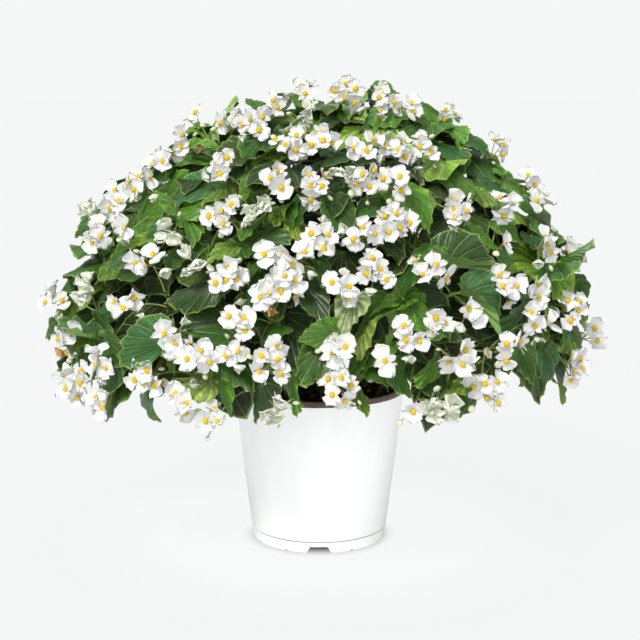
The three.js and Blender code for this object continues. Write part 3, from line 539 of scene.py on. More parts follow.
class Limb:
    """A cane or shoot: an arc that is asked for places by share of its length."""

    def __init__(self, plant, start, bend, end, radius, bare):
        self.plant, self.radius, self.bare = plant, radius, bare
        t = np.linspace(0, 1, 49)[:, None]
        self.path = (1 - t) ** 2 * start + 2 * t * (1 - t) * bend + t**2 * end
        steps = np.linalg.norm(np.diff(self.path, axis=0), axis=1)
        self.along = np.concatenate([[0], np.cumsum(steps)])
        self.length = self.along[-1]

    def at(self, share):
        far = share * self.length
        return np.array([np.interp(far, self.along, places) for places in self.path.T])


limbs = []
plant = 0
for stems, start_radius, end_height, depth, turn, shoots in STEM_RINGS:
    for k in range(stems):
        bearing = k / stems * 2 * math.pi + math.radians(turn)
        out = np.array((math.sin(bearing), -math.cos(bearing), 0))
        start = out * start_radius + np.array((0, 0, SOIL_TOP - STEM_ROOT))
        knee_height = mix(SOIL_TOP, end_height, STEM_UPRIGHT)
        bend = out * start_radius * STEM_SPREAD + np.array((0, 0, knee_height))
        cane = Limb(plant, start, bend, on_dome(bearing, end_height, depth), STEM_RADIUS, STEM_BARE)
        limbs.append(cane)
        for (swing, lift), share in zip(shoots, SHOOT_FROM):
            foot = cane.at(share)
            top = on_dome(bearing + swing, end_height + lift, depth - SHOOT_PAST)
            knee = (foot + top) / 2 + np.array((0, 0, SHOOT_ARCH))
            limbs.append(Limb(plant, foot, knee, top, SHOOT_RADIUS, SHOOT_BARE))
        plant += 1


def nearest_limb(p):
    """The nearest place on any cane or shoot to a point, as (limb, share of its length)."""
    best = (1e9, None, 0)
    for limb in limbs:
        for share in np.arange(limb.bare, 0.9701, LIMB_STEP):
            far = np.linalg.norm(limb.at(share) - p)
            if far < best[0]:
                best = (far, limb, share)
    return best[1], best[2]


class Parts:
    """Points, triangles and what the materials read of them, gathered for one object."""

    def __init__(self):
        self.points, self.triangles, self.slots, self.marks, self.tones = [], [], [], [], []
        self.count = 0

    def add(self, points, triangles, slot, marks, tone):
        points = np.asarray(points, float)
        self.points.append(points)
        self.triangles.append(np.asarray(triangles, int) + self.count)
        self.slots.append(np.full(len(triangles), slot))
        self.marks.append(np.broadcast_to(np.asarray(marks, float), (len(points), 3)))
        self.tones.append(np.broadcast_to(np.asarray(tone, float), (len(points), 4)))
        self.count += len(points)

    def mesh(self, name):
        """One smooth mesh with a vector called mark and a colour called tone at each point."""
        points, triangles = np.concatenate(self.points), np.concatenate(self.triangles)
        made = bpy.data.meshes.new(name)
        made.vertices.add(len(points))
        made.vertices.foreach_set("co", points.ravel())
        made.loops.add(triangles.size)
        made.loops.foreach_set("vertex_index", triangles.ravel())
        made.polygons.add(len(triangles))
        made.polygons.foreach_set("loop_start", np.arange(len(triangles)) * 3)
        made.polygons.foreach_set("loop_total", np.full(len(triangles), 3))
        made.polygons.foreach_set("material_index", np.concatenate(self.slots))
        made.update(calc_edges=True)
        mark = made.attributes.new("mark", "FLOAT_VECTOR", "POINT")
        mark.data.foreach_set("vector", np.concatenate(self.marks).ravel())
        tone = made.attributes.new("tone", "FLOAT_COLOR", "POINT")
        tone.data.foreach_set("color", np.concatenate(self.tones).ravel())
        made.shade_smooth()
        return made


def tube(path, radii, sides):
    """Points and triangles of a round tube along a path; the ends are closed by points."""
    path = np.asarray(path, float)
    ways = np.gradient(path, axis=0)
    ways /= np.linalg.norm(ways, axis=1)[:, None]
    first = np.cross(ways[0], (0.31, 0.17, 1.0))
    points, triangles = [], []
    across = unit(first)
    for p, way, radius in zip(path, ways, radii):
        across = unit(across - way * across.dot(way))
        other = np.cross(way, across)
        for k in range(sides):
            a = 2 * math.pi * k / sides
            points.append(p + radius * (across * math.cos(a) + other * math.sin(a)))
    rows = len(path)
    for row in range(rows - 1):
        for k in range(sides):
            a, b = row * sides + k, row * sides + (k + 1) % sides
            triangles += [(a, b, b + sides), (a, b + sides, a + sides)]
    points += [path[0] - ways[0] * radii[0] * 0.3, path[-1] + ways[-1] * radii[-1] * 0.5]
    low, high, last = rows * sides, rows * sides + 1, (rows - 1) * sides
    for k in range(sides):
        n = (k + 1) % sides
        triangles += [(low, n, k), (high, last + k, last + n)]
    return points, triangles


# Living stem, free of bark: a wet-looking skin over green tissue, streaked with fibres that are drawn
# 4 mm apart to show.
green_stem, tree, shader = finish(
    "begonia cane, living", {"Roughness": 0.35, "IOR": 1.4, "Coat Weight": 0.2}
)
place = node(tree, "TexCoord", out="Object")
streaks = node(tree, "TexNoise", {"Vector": place, "Scale": 260.0, "Detail": 4.0})
tone = node(tree, "Attribute", attribute_name="tone")
worn = node(tree, "MapRange", (streaks, 0.3, 0.7, 0.75, 1.2))
shade = node(tree, "VectorMath", (tone, worn), operation="MULTIPLY")
bump = node(tree, "Bump", {"Height": streaks, "Strength": 0.3, "Distance": 0.0004})
wire(shader, {"Base Color": shade, "Normal": bump})

CANE_LOW = np.array(linear("#5C5230"))
CANE_HIGH = np.array(linear("#5F8A35"))
plants = [Parts() for _ in range(plant)]
for limb in limbs:
    shares = np.linspace(0, 1, max(8, int(limb.length / 0.009)))
    path = [limb.at(share) for share in shares]
    off_joint = (shares * limb.length / JOINT_STEP + 0.5) % 1 - 0.5
    swell = 1 + JOINT_SWELL * np.exp(-((off_joint / JOINT_SHARE) ** 2))
    points, triangles = tube(path, limb.radius * swell * mix(*TAPER, shares), 8)
    high = np.clip((np.array(points)[:, 2] - SOIL_TOP) / BLUSH, 0, 1)[:, None]
    plants[limb.plant].add(points, triangles, 0, (0, 0, 0), mix(CANE_LOW, CANE_HIGH, high))

# ---------- the leaves ----------
# Lopsided hearts on long petioles: thick, glossy and puckered between sunken veins above, pale and
# dull beneath, with a waved and toothed margin edged in lime.
LEAF_LENGTH = (0.046, 0.062)
LEAF_WIDTH = 0.42  # of half a blade that isn't foreshortened, in lengths of the blade
LEAF_RISE = 0.3  # how far a hanging blade stands out of the dome
LEAF_SKIN = 0.00035  # a blade's thickness in its middle
LEAF_EDGE = 0.00005
PETIOLE_RADIUS = 0.0013
PETIOLE_REACH = 0.022  # how far behind its base a blade looks for a cane to grow from
PETIOLE_KNEE = (0.010, 0.006)  # how far behind the blade and its base the petiole bends
PETIOLE_GREEN = np.array(linear("#8DA64E"))
BASE_DEPTH = (0.026, 0.036)  # of a leaf of the photograph in the dome, less the more it has to show
TIP_DEPTH = (0.012, 0.020)
DEPTH_PER_PIXEL = 0.0002
MOST_TURN = 1.12  # in radians, how far half a blade turns away
LEAST_HALF = 0.22  # of its length, shown by half a blade that others partly cover
BLADE_SHARE = 0.86  # of a drawn length, which counts the lobes behind the petiole
VEIN_ANGLE = math.radians(26)  # between the veins that fan out from the petiole
COARSE_TEETH, FINE_TEETH = 17, 29  # round the margin
COARSE_TOOTH, FINE_TOOTH = 0.028, 0.02  # how far they stand out
# In lengths of the blade: how far its main veins lie sunken, how high its margin waves and ripples,
# and how far its tip hangs and its margin cups.
SUNKEN = 0.034
WAVE = (0.05, 0.12)
RIPPLE = 0.025
DROOP = (0.08, 0.26)
CUPPED = (-0.06, 0.14)
LEAF_OUTLINE = np.array(  # across in half widths, along in lengths from the petiole to the tip
    [
        (0, 1.0), (-0.30, 0.87), (-0.68, 0.66), (-0.95, 0.34), (-1.0, 0.02), (-0.78, -0.22),
        (-0.38, -0.28), (-0.06, -0.10), (0.06, -0.10), (0.38, -0.28), (0.78, -0.22), (1.0, 0.02),
        (0.95, 0.34), (0.68, 0.66), (0.30, 0.87),
    ]
)
# Each leaf that stands clear of its neighbours, in pixels of the 640 x 640 photograph: base x and
# y, tip x and y, how far the blade is seen to reach left and right of the way to its tip, and its
# tone. Minus marks a half that is folded up so far that its underside shows.
# The tones paint how each leaf was lit as well as its green: LIT is painted light, DARK painted
# shade, DARKEST the deepest painted shade, and BLUE a painted blue-white sheen of the sky on glossy
# leaves.
DARK, DARKEST, MIDDLE, LIT, BLUE, FRESH, LIME, PALE, UNDER = (
    "#3A7814", "#204F18", "#66A624", "#A0CC3E", "#3C7E3C", "#9CC844", "#C0D83E", "#CEE29C",
    "#B0CC5C",
)
LEAVES_SEEN = [
    (108, 214, 72, 231, 8, 9, DARK), (97, 261, 60, 266, 15, 15, DARK),
    (134, 249, 106, 272, 10, 13, DARK), (160, 238, 124, 239, 4, 7, LIT),
    (138, 222, 166, 197, 10, 10, MIDDLE), (206, 184, 159, 206, 8, 10, BLUE),
    (160, 202, 181, 168, 9, 8, MIDDLE), (178, 214, 142, 232, 5, 8, BLUE),
    (178, 208, 197, 238, 14, 12, MIDDLE), (186, 238, 202, 259, 12, 9, DARK),
    (184, 248, 165, 269, 8, 8, DARK), (215, 283, 163, 299, 18, 15, DARKEST),
    (94, 336, 60, 317, 9, 18, BLUE), (164, 344, 117, 361, 10, 32, BLUE),
    (104, 334, 118, 364, 10, 10, DARK), (236, 338, 181, 326, 9, 15, DARK),
    (210, 380, 170, 371, 24, 9, UNDER), (221, 380, 228, 419, 6, 11, MIDDLE),
    (226, 358, 256, 388, 13, 15, DARK), (262, 384, 249, 425, 19, 13, DARKEST),
    (290, 379, 293, 417, 9, 8, MIDDLE), (338, 334, 300, 338, 19, 17, MIDDLE),
    (322, 348, 300, 378, 13, 19, DARK), (148, 386, 140, 424, 6, 7, DARK),
    (119, 366, 105, 398, 8, 8, DARK), (236, 246, 204, 260, 6, 8, FRESH),
    (246, 246, 292, 231, 14, 6, DARK), (291, 221, 305, 241, 10, 5, LIME),
    (272, 256, 242, 274, 6, 8, DARK), (296, 222, 272, 206, 7, 7, DARK),
    (332, 203, 343, 235, 21, 5, DARK), (370, 99, 373, 79, 3, 3, DARKEST),
    (376, 88, 404, 80, 6, 6, MIDDLE), (420, 104, 454, 116, 7, 8, MIDDLE),
    (428, 122, 392, 126, 8, 7, DARK), (378, 128, 342, 134, 10, 6, LIT),
    (330, 156, 363, 148, 6, 10, DARK), (440, 144, 466, 160, 7, 7, BLUE),
    (442, 124, 462, 141, 7, 8, MIDDLE), (466, 140, 494, 150, 6, 7, BLUE),
    (466, 154, 506, 177, 10, 13, DARK), (440, 160, 404, 166, 6, 5, LIT),
    (442, 170, 482, 186, 6, 8, MIDDLE), (402, 190, 437, 225, 14, 14, MIDDLE),
    (398, 198, 354, 206, 14, 7, DARK), (478, 180, 511, 192, 6, 6, BLUE),
    (480, 194, 508, 203, 7, 9, LIT), (436, 246, 413, 264, 13, 10, MIDDLE),
    (447, 266, 504, 267, 37, -11, DARKEST), (465, 295, 504, 325, 33, -12, BLUE),
    (408, 296, 454, 334, 11, 19, MIDDLE), (403, 300, 376, 320, 10, 14, MIDDLE),
    (354, 300, 343, 331, 12, 18, PALE), (364, 322, 352, 356, 7, 8, UNDER),
    (384, 344, 360, 366, 13, 10, MIDDLE), (392, 358, 413, 398, 12, 12, DARK),
    (436, 362, 418, 388, 9, 9, MIDDLE), (466, 382, 442, 392, 4, 6, FRESH),
    (356, 392, 369, 416, 7, 8, FRESH), (456, 388, 465, 416, 9, 7, DARK),
    (506, 180, 540, 197, 7, 8, MIDDLE), (536, 216, 578, 236, 9, 11, DARK),
    (498, 222, 530, 243, 11, 12, MIDDLE), (546, 240, 569, 268, 7, 9, MIDDLE),
    (544, 270, 512, 262, 4, 8, LIT), (554, 262, 546, 290, 15, 8, MIDDLE),
    (578, 280, 597, 306, 8, 7, DARK), (578, 314, 608, 323, 5, 5, PALE),
    (526, 308, 504, 332, 11, 13, DARK), (518, 346, 534, 386, 17, 12, DARK),
    (546, 350, 553, 397, 8, 8, BLUE), (572, 328, 602, 367, 8, 9, DARK),
    (292, 96, 322, 92, 5, 9, MIDDLE), (214, 132, 190, 128, 6, 6, LIT),
    (270, 134, 244, 156, 14, 12, DARK), (184, 158, 216, 146, 5, 9, MIDDLE),
    (262, 176, 240, 196, 12, 12, MIDDLE), (259, 106, 246, 97, 3, 5, MIDDLE),
]
# The same for those that show between them.
LEAVES_BETWEEN = [
    (306, 288, 329, 319, 14, 13, DARKEST), (318, 262, 329, 288, 11, 8, DARK),
    (418, 262, 398, 292, 12, 11, DARK), (280, 325, 258, 338, 7, 7, DARK),
    (388, 300, 362, 314, 8, 8, MIDDLE), (372, 366, 392, 384, 8, 10, DARK),
    (500, 248, 511, 266, 7, 8, DARK), (531, 236, 546, 250, 8, 7, BLUE),
    (472, 230, 501, 243, 5, 8, MIDDLE), (548, 264, 522, 284, 9, 9, DARK),
    (513, 212, 540, 222, 5, 6, LIT), (98, 250, 74, 240, 4, 7, DARK),
    (112, 268, 92, 280, 8, 8, FRESH), (136, 270, 115, 278, 7, 7, DARK),
    (114, 302, 101, 320, 7, 7, BLUE), (98, 338, 70, 342, 5, 6, FRESH),
    (212, 128, 205, 158, 9, 9, LIT), (238, 138, 222, 156, 8, 8, BLUE),
    (226, 184, 202, 194, 6, 7, FRESH), (214, 205, 166, 212, 5, 6, MIDDLE),
    (136, 214, 111, 226, 6, 6, LIT), (296, 110, 268, 124, 7, 8, MIDDLE),
    (336, 104, 316, 120, 6, 7, MIDDLE), (330, 114, 355, 120, 6, 6, LIT),
    (280, 154, 245, 162, 6, 6, LIT), (252, 162, 232, 174, 7, 7, BLUE),
    (300, 200, 294, 224, 10, 10, DARK), (256, 220, 238, 236, 7, 8, MIDDLE),
    (250, 280, 243, 308, 6, 7, DARK), (424, 189, 437, 202, 5, 5, LIT),
    (176, 350, 168, 372, 6, 6, FRESH), (540, 300, 553, 315, 5, 6, FRESH),
    (565, 335, 574, 352, 4, 5, FRESH), (288, 206, 279, 231, 9, 9, DARK),
    (282, 208, 272, 221, 5, 6, LIT), (362, 351, 350, 373, 7, 8, DARK),
    (392, 110, 366, 118, 6, 8, MIDDLE), (382, 118, 360, 126, 6, 7, DARK),
    (410, 112, 428, 120, 6, 6, MIDDLE),
]
# Leaves that the photograph doesn't show, from the top down: how many, the number of the first, the
# turn that they start at, the bearing that they lie round and the share of a full turn, how far they
# keep from the dome's top and from the lowest leaves, their depth, how much less of it near the top,
# how far aside a blade may point, the share of their tone that painted shade leaves them, and the
# spokes and rings of the mesh.
ASIDE = 1.3
LEAVES_DRAWN = [
    # at the back, twice over
    (46, 378, 0.0, math.pi, 0.66, 0.014, 0.026, (0.030, 0.046), 0, 0, 1.0, (37, 5)),
    (60, 500, 1.1, math.pi, 0.6, 0.002, 0.032, (0.024, 0.040), 0, ASIDE, 0.9, (37, 5)),
    # behind the ones that stand clear on the seen side, their tone painted darker as shade
    (90, 600, 0.3, 0.0, 0.62, 0.001, 0.050, (0.040, 0.058), 0.014, ASIDE, 0.28, (35, 4)),
    # further in, where they close the view through the plant, painted nearly black as shade
    (150, 800, 0.5, math.pi, 1.0, 0.0005, 0.046, (0.050, 0.085), 0, ASIDE, 0.08, (15, 3)),
]
CROWN = 0.385  # above this height they come up between the flowers
GOLDEN = math.pi * (3 - math.sqrt(5))  # the turn from one to the next, as leaves grow


def round_outline(corners, steps):
    """A closed smooth curve through corners, as (angle from the tip's way, distance) in order."""
    n = len(corners)
    curve = []
    for i in range(n):
        a, b, c, d = (corners[(i + k) % n] for k in (-1, 0, 1, 2))
        for t in np.linspace(0, 1, steps, endpoint=False):
            square, cube = 2 * a - 5 * b + 4 * c - d, 3 * b - a - 3 * c + d
            curve.append(0.5 * (2 * b + (c - a) * t + square * t**2 + cube * t**3))
    curve = np.array(curve)
    angles = np.arctan2(curve[:, 0], curve[:, 1])
    order = np.argsort(angles)
    return angles[order], np.linalg.norm(curve, axis=1)[order]


outline_angles, outline_reach = round_outline(LEAF_OUTLINE, 10)


def grid(rows, columns):
    """Triangles between points that are given row by row."""
    corners = [row * columns + k for row in range(rows - 1) for k in range(columns - 1)]
    pairs = [((a, a + columns, a + columns + 1), (a, a + columns + 1, a + 1)) for a in corners]
    return [triangle for pair in pairs for triangle in pair]


def leaf_form(item, length, half_widths, spokes, rings):
    """A flat-lying blade: points as (across, along, up), triangles and vein marks."""
    s = np.linspace(-1, 1, spokes)
    angles = np.sign(s) * np.abs(s) ** 1.12 * math.radians(172)
    teeth = COARSE_TOOTH * np.sin(angles * COARSE_TEETH + 6 * draw(item, 31))
    teeth += FINE_TOOTH * np.sin(angles * FINE_TEETH + 6 * draw(item, 30))
    reach = np.interp(angles, outline_angles, outline_reach) * (1 + teeth)
    shares = np.linspace(0, 1, rings + 1)[1:] ** 0.85
    r, a = np.meshgrid(shares, angles, indexing="ij")
    mirror = -1 if draw(item, 13) < 0.5 else 1
    across, along = reach[None, :] * r * np.sin(a), reach[None, :] * r * np.cos(a)
    across = across * (1 - 0.22 * draw(item, 47) * np.clip(along, 0, 1) ** 2)
    x = across * np.where(across < 0, half_widths[0], half_widths[1])
    y = (along + 0.05 * mirror * across) * length
    veins = a / (VEIN_ANGLE * (1 - 0.16 * r))
    waves, phase = 2 + round(2 * draw(item, 32)), 6.28 * draw(item, 33)
    z = -SUNKEN * np.cos(2 * math.pi * veins) * r**0.6 * (1 - 0.25 * r)
    z += mix(*WAVE, draw(item, 34)) * r**2.5 * np.sin(waves * a + phase)
    z += RIPPLE * r**4 * np.sin(11 * a + 2 * phase)
    z -= mix(*DROOP, draw(item, 35)) * np.clip(along, 0, 1) ** 2
    z -= mix(*CUPPED, draw(item, 37)) * r**2
    points = np.stack([x, y, z * length], -1).reshape(-1, 3)
    marks = np.stack([veins, r, np.zeros_like(r)], -1).reshape(-1, 3)
    middle = len(points)
    triangles = [(middle, k + 1, k) for k in range(spokes - 1)]
    triangles += [triangle[::-1] for triangle in grid(rings, spokes)]
    nought = np.zeros((1, 3))
    return np.concatenate([points, nought]), np.array(triangles), np.concatenate([marks, nought])


def add_leaf(item, base, tip, normal, folds, half_widths, tone, painted_light, mesh_size):
    """A leaf and its petiole, on the cane or shoot that is nearest to it.

    folds says how far its left and right half are folded up from square to the normal."""
    along = unit(tip - base)
    normal = unit(normal - along * normal.dot(along))
    limb, share = nearest_limb(base - normal * PETIOLE_REACH)
    root = limb.at(min(0.98, max(limb.bare, share + mix(-0.12, 0.04, draw(item, 40)))))
    points, triangles, marks = leaf_form(item, np.linalg.norm(tip - base), half_widths, *mesh_size)
    upper = base + points[:, 1:2] * along
    face = np.zeros_like(points)
    for side, fold in zip((-1, 1), folds):
        way = np.cross(along, normal) * side * math.cos(fold) + normal * math.sin(fold)
        mine = points[:, 0] < 0 if side < 0 else points[:, 0] >= 0
        face[mine] = np.cross(way, along) * side
        upper[mine] += np.abs(points[mine, :1]) * way
    upper += points[:, 2:] * face
    # Its tone varies a little at random, and painted_light darkens it: painted shade on leaves deep
    # in the plant.
    shade = np.array(linear(tone))
    shade[:3] *= mix(0.85, 1.15, draw(item, 41)) * painted_light
    thickness = LEAF_SKIN * (1 - marks[:, 1:2] ** 4) + LEAF_EDGE
    parts = plants[limb.plant]
    parts.add(upper, triangles, 1, marks, shade)
    parts.add(upper - face * thickness, triangles[:, ::-1], 2, marks, shade)
    # The petiole leaves the cane, and bends up into the blade from below and behind.
    knee = base - normal * PETIOLE_KNEE[0] - along * PETIOLE_KNEE[1]
    end = base - normal * LEAF_SKIN
    t = np.linspace(0, 1, 7)[:, None]
    path = (1 - t) ** 3 * root + 3 * t * (1 - t) ** 2 * mix(root, knee, 0.6)
    path += 3 * t**2 * (1 - t) * knee + t**3 * end
    points, triangles = tube(path, np.linspace(PETIOLE_RADIUS * 1.15, PETIOLE_RADIUS * 0.8, 7), 5)
    parts.add(points, triangles, 0, (0, 0, 0), PETIOLE_GREEN)


def add_seen_leaf(item, leaf):
    """A leaf of the photograph. A half that looks narrower than leaves grow is turned away."""
    base_x, base_y, tip_x, tip_y, left, right, tone = leaf
    less = DEPTH_PER_PIXEL * (abs(left) + abs(right))
    base = shown_at(base_x, base_y, mix(*BASE_DEPTH, draw(item, 1)) - less)
    tip = shown_at(tip_x, tip_y, mix(*TIP_DEPTH, draw(item, 2)) - less / 2)
    along = unit(tip - base)
    sight = unit(EYE - base)
    sight = unit(sight - along * sight.dot(along))
    sky = outward(base) + np.array((0, 0, 0.5))
    grown = max(LEAF_LENGTH[0] * 0.7, np.linalg.norm(tip - base))
    folds, half_widths = [], []
    for side, reach in ((-1, left), (1, right)):
        least = math.hypot(tip_x - base_x, tip_y - base_y) * LEAST_HALF
        shown = max(abs(reach), least) * np.linalg.norm(EYE - base) / FOCAL
        broad = grown * LEAF_WIDTH * mix(0.85, 1.1, draw(item, 12 + side))
        half_widths.append(max(shown / 0.97, broad))
        turn = min(MOST_TURN, math.acos(shown / half_widths[-1]))
        far_side = np.cross(along, sight).dot(sky) * side > 0
        folds.append(math.pi - turn if reach < 0 else -turn if far_side else turn)
    add_leaf(item, base, tip, sight, folds, half_widths, tone, 1.0, (53, 6))


def drawn_tone(item):
    """The tone of a leaf that the photograph doesn't show."""
    pick = draw(item, 44)
    # Picked at random from the same tones, painted light and shade among them.
    shares = ((0.36, DARK), (0.5, DARKEST), (0.78, MIDDLE), (0.86, BLUE), (0.94, LIT), (1.01, FRESH))
    return next(tone for limit, tone in shares if pick < limit)


def add_drawn_leaf(item, base, bearing, aside, painted_light, mesh_size):
    """A leaf that the photograph doesn't show: it faces out and up and hangs down the dome."""
    lean = np.array([draw(item, use) - 0.5 for use in (7, 8, 9)])
    normal = unit(outward(base) + np.array((0, 0, 0.4)) + lean * 0.5)
    swing = bearing + mix(-0.8, 0.8, draw(item, 3))
    along = np.array((math.sin(swing), -math.cos(swing), -1.3))
    along = unit(along - normal * along.dot(normal))
    turn = aside * mix(-1, 1, draw(item, 5))
    along = along * math.cos(turn) + np.cross(normal, along) * math.sin(turn)
    drawn = unit(along + outward(base) * LEAF_RISE) * mix(*LEAF_LENGTH, draw(item, 4))
    tip = base + drawn * BLADE_SHARE
    broad = np.linalg.norm(tip - base) * LEAF_WIDTH * 1.2
    lopsided = mix(-0.22, 0.22, draw(item, 12))
    half_widths = [broad * (1 - lopsided), broad * (1 + lopsided)]
    folds = [mix(-0.18, 0.44, draw(item, 36))] * 2
    add_leaf(item, base, tip, normal, folds, half_widths, drawn_tone(item), painted_light, mesh_size)


for first, leaves in ((300, LEAVES_SEEN), (430, LEAVES_BETWEEN)):
    for item, leaf in enumerate(leaves, first):
        add_seen_leaf(item, leaf)
for count, first, start, middle, share, top, low, depths, less, aside, painted_light, size in LEAVES_DRAWN:
    for k in range(count):
        item = first + k
        bearing = middle + ((k * GOLDEN + start) % (2 * math.pi) - math.pi) * share
        z = mix(DOME_TOP - top, skirt(bearing) + low, (k + draw(item, 2)) / count)
        base = on_dome(bearing, z, mix(*depths, draw(item, 1)) - (less if z > CROWN else 0))
        add_drawn_leaf(item, base, bearing, aside, painted_light, size)


def vein_lines(tree):
    """1 on a vein, reach from petiole to margin, and how far off the main and side veins are."""
    mark = node(tree, "Attribute", out="Vector", attribute_name="mark")
    fan, reach, _ = node(tree, "SeparateXYZ", [mark], out=None)
    # A main vein lies at each whole number.
    off_main = node(tree, "Math", (fan, 0.5), operation="PINGPONG")
    width = node(tree, "Math", (off_main, reach), operation="MULTIPLY")
    main = node(tree, "MapRange", (width, 0.01, 0.05, 0.85, 0.0))
    # Side veins leave each main vein in a chevron.
    slant = node(tree, "Math", (off_main, 1.5, reach), operation="MULTIPLY_ADD")
    slanted = node(tree, "Math", (slant, 5.0), operation="MULTIPLY")
    off_side = node(tree, "Math", (slanted, 0.5), operation="PINGPONG")
    side = node(tree, "MapRange", (off_side, 0.02, 0.16, 0.6, 0.0))
    veins = node(tree, "Math", (main, side), operation="MAXIMUM")
    return veins, reach, off_main, off_side


# The upper face: a waxy cuticle over green tissue, mottled in 3 mm patches. It mirrors the light
# softly where it swells between veins, and its colour carries painted shade in the sunken main veins
# and painted light on the swells between them. The veins are a little paler, and the very edge is
# lime.
leaf_top, tree, shader = finish("leaf cuticle, waxy upper face", {"IOR": 1.45, "Coat IOR": 1.5})
wire(shader, {"Coat Weight": 0.34, "Coat Roughness": 0.26})
veins, reach, off_main, off_side = vein_lines(tree)
place = node(tree, "TexCoord", out="Object")
mottle = node(tree, "TexNoise", {"Vector": place, "Scale": 300.0, "Detail": 5.0, "Roughness": 0.65})
tone = node(tree, "Attribute", attribute_name="tone")
blotch = node(tree, "MapRange", (mottle, 0.3, 0.7, 0.55, 1.55))
# Painted shade and light: darker down in the main veins, lighter on the swells between them.
painted_relief_light = node(tree, "MapRange", (off_main, 0.0, 0.5, 0.52, 1.38))
mottled_with_painted_relief = node(tree, "Math", (blotch, painted_relief_light), operation="MULTIPLY")
shaded = node(tree, "VectorMath", (tone, mottled_with_painted_relief), operation="MULTIPLY")
vein_share = node(tree, "Math", (veins, 0.7), operation="MULTIPLY")
veined = node(tree, "MixRGB", (vein_share, shaded, linear("#B4CE7C")))
heart = node(tree, "MapRange", (reach, 0.0, 0.12, 0.6, 0.0))
hearted = node(tree, "MixRGB", (heart, veined, linear("#B4CC70")))
edge = node(tree, "MapRange", (reach, 0.94, 0.995, 0.0, 0.75))
edged = node(tree, "MixRGB", (edge, hearted, linear("#BAD468")))
gloss = node(tree, "MapRange", (mottle, 0.3, 0.7, 0.3, 0.5))
swell = node(tree, "Math", (mottle, 0.7, off_side), operation="MULTIPLY_ADD")
bump = node(tree, "Bump", {"Height": swell, "Strength": 0.9, "Distance": 0.0026})
wire(shader, {"Base Color": edged, "Roughness": gloss, "Normal": bump})

# The underside: matte, pale and slightly grey, its veins standing proud.
leaf_under, tree, shader = finish("leaf underside, matte", {"Roughness": 0.7, "IOR": 1.4})
veins = vein_lines(tree)[0]
tone = node(tree, "Attribute", attribute_name="tone")
pale = node(tree, "MixRGB", (0.55, tone, linear("#93BA5A")))
vein_share = node(tree, "Math", (veins, 0.5), operation="MULTIPLY")
veined = node(tree, "MixRGB", (vein_share, pale, linear("#C6D89C")))
bump = node(tree, "Bump", {"Height": veins, "Strength": 0.6, "Distance": 0.0008})
wire(shader, {"Base Color": veined, "Normal": bump})

for number, parts in enumerate(plants, 1):
    name = f"leafy_stem_{number:02d}"
    mesh = parts.mesh(name + "_leaves")
    add_object(name + "_leaves", mesh, (green_stem, leaf_top, leaf_under), name)

# ---------- the flowers ----------
# Sprays on thin forked stalks. A flower has two broad and two narrow tepals, crystalline white and
# thin, round a boss of yellow stamens. Folded, greenish ones and buds hang between them.
BLOOM_RADIUS = 0.0102
BLOOM_DEPTH = 0.005  # of a head's flowers in the dome
HEAD_DEPTH = 0.019  # of the place in its solid that a head belongs to
FORK_DEPTH = 0.022  # of the fork under a spray's heads
BOSS_RADIUS = 0.0023
# The stalks: radius at both ends, how far they bow up, as a share of their length, and their sides.
STALK = {"radii": (0.00108, 0.0009), "bow": 0.13, "sides": 6}  # from the cane to the fork
ARM = {"radii": (0.0009, 0.00063), "bow": 0.1, "sides": 5}  # from the fork to a head's centre
PEDICEL = {"radii": (0.00065, 0.0005), "bow": -0.06, "sides": 3}  # from there to a flower
BUD_PEDICEL = {"radii": (0.0006, 0.00045), "bow": -0.08, "sides": 3}
HEAD_RADIUS, HEAD_GROWTH = 0.009, 0.0009  # from its centre to its middle, and more for each flower
BLOOM_REACH, BLOOM_GROWTH = 0.0115, 0.001  # the same from its centre to its flowers
BROAD_TEPAL = (1.0, 1.38)  # length and width, in radii of the bloom
NARROW_TEPAL = (0.84, 0.5)
# How far flowers stand off a head's axis, in degrees, by their number.
CAPS = {1: 12, 2: 34, 3: 46, 4: 48, 5: 56, 6: 60}
WIDEST_CAP = 64
BLOOM_SHARE = 0.67  # of the open flowers counted, as broad tepals overlap
MOST_FLOWERS = 8
FADED_SHARE = 0.07  # of the flowers seen side-on
SEEN_SIDE_TURN = 0.5  # heads of the plant's best side lean to the front, where their light was
BACK_STEP = 2  # of the seen heads, how many there are to one at the back
BACK_CLEAR = 0.060  # in front of the middle, from where they are repeated
BACK_LOW, BACK_HIGH = DOME_MIDDLE - 0.040, DOME_TOP - 0.040
LEAST_BEND = 0.02  # in radians, so that an arc can be drawn
DOWN = np.array((0, 0, -1.0))
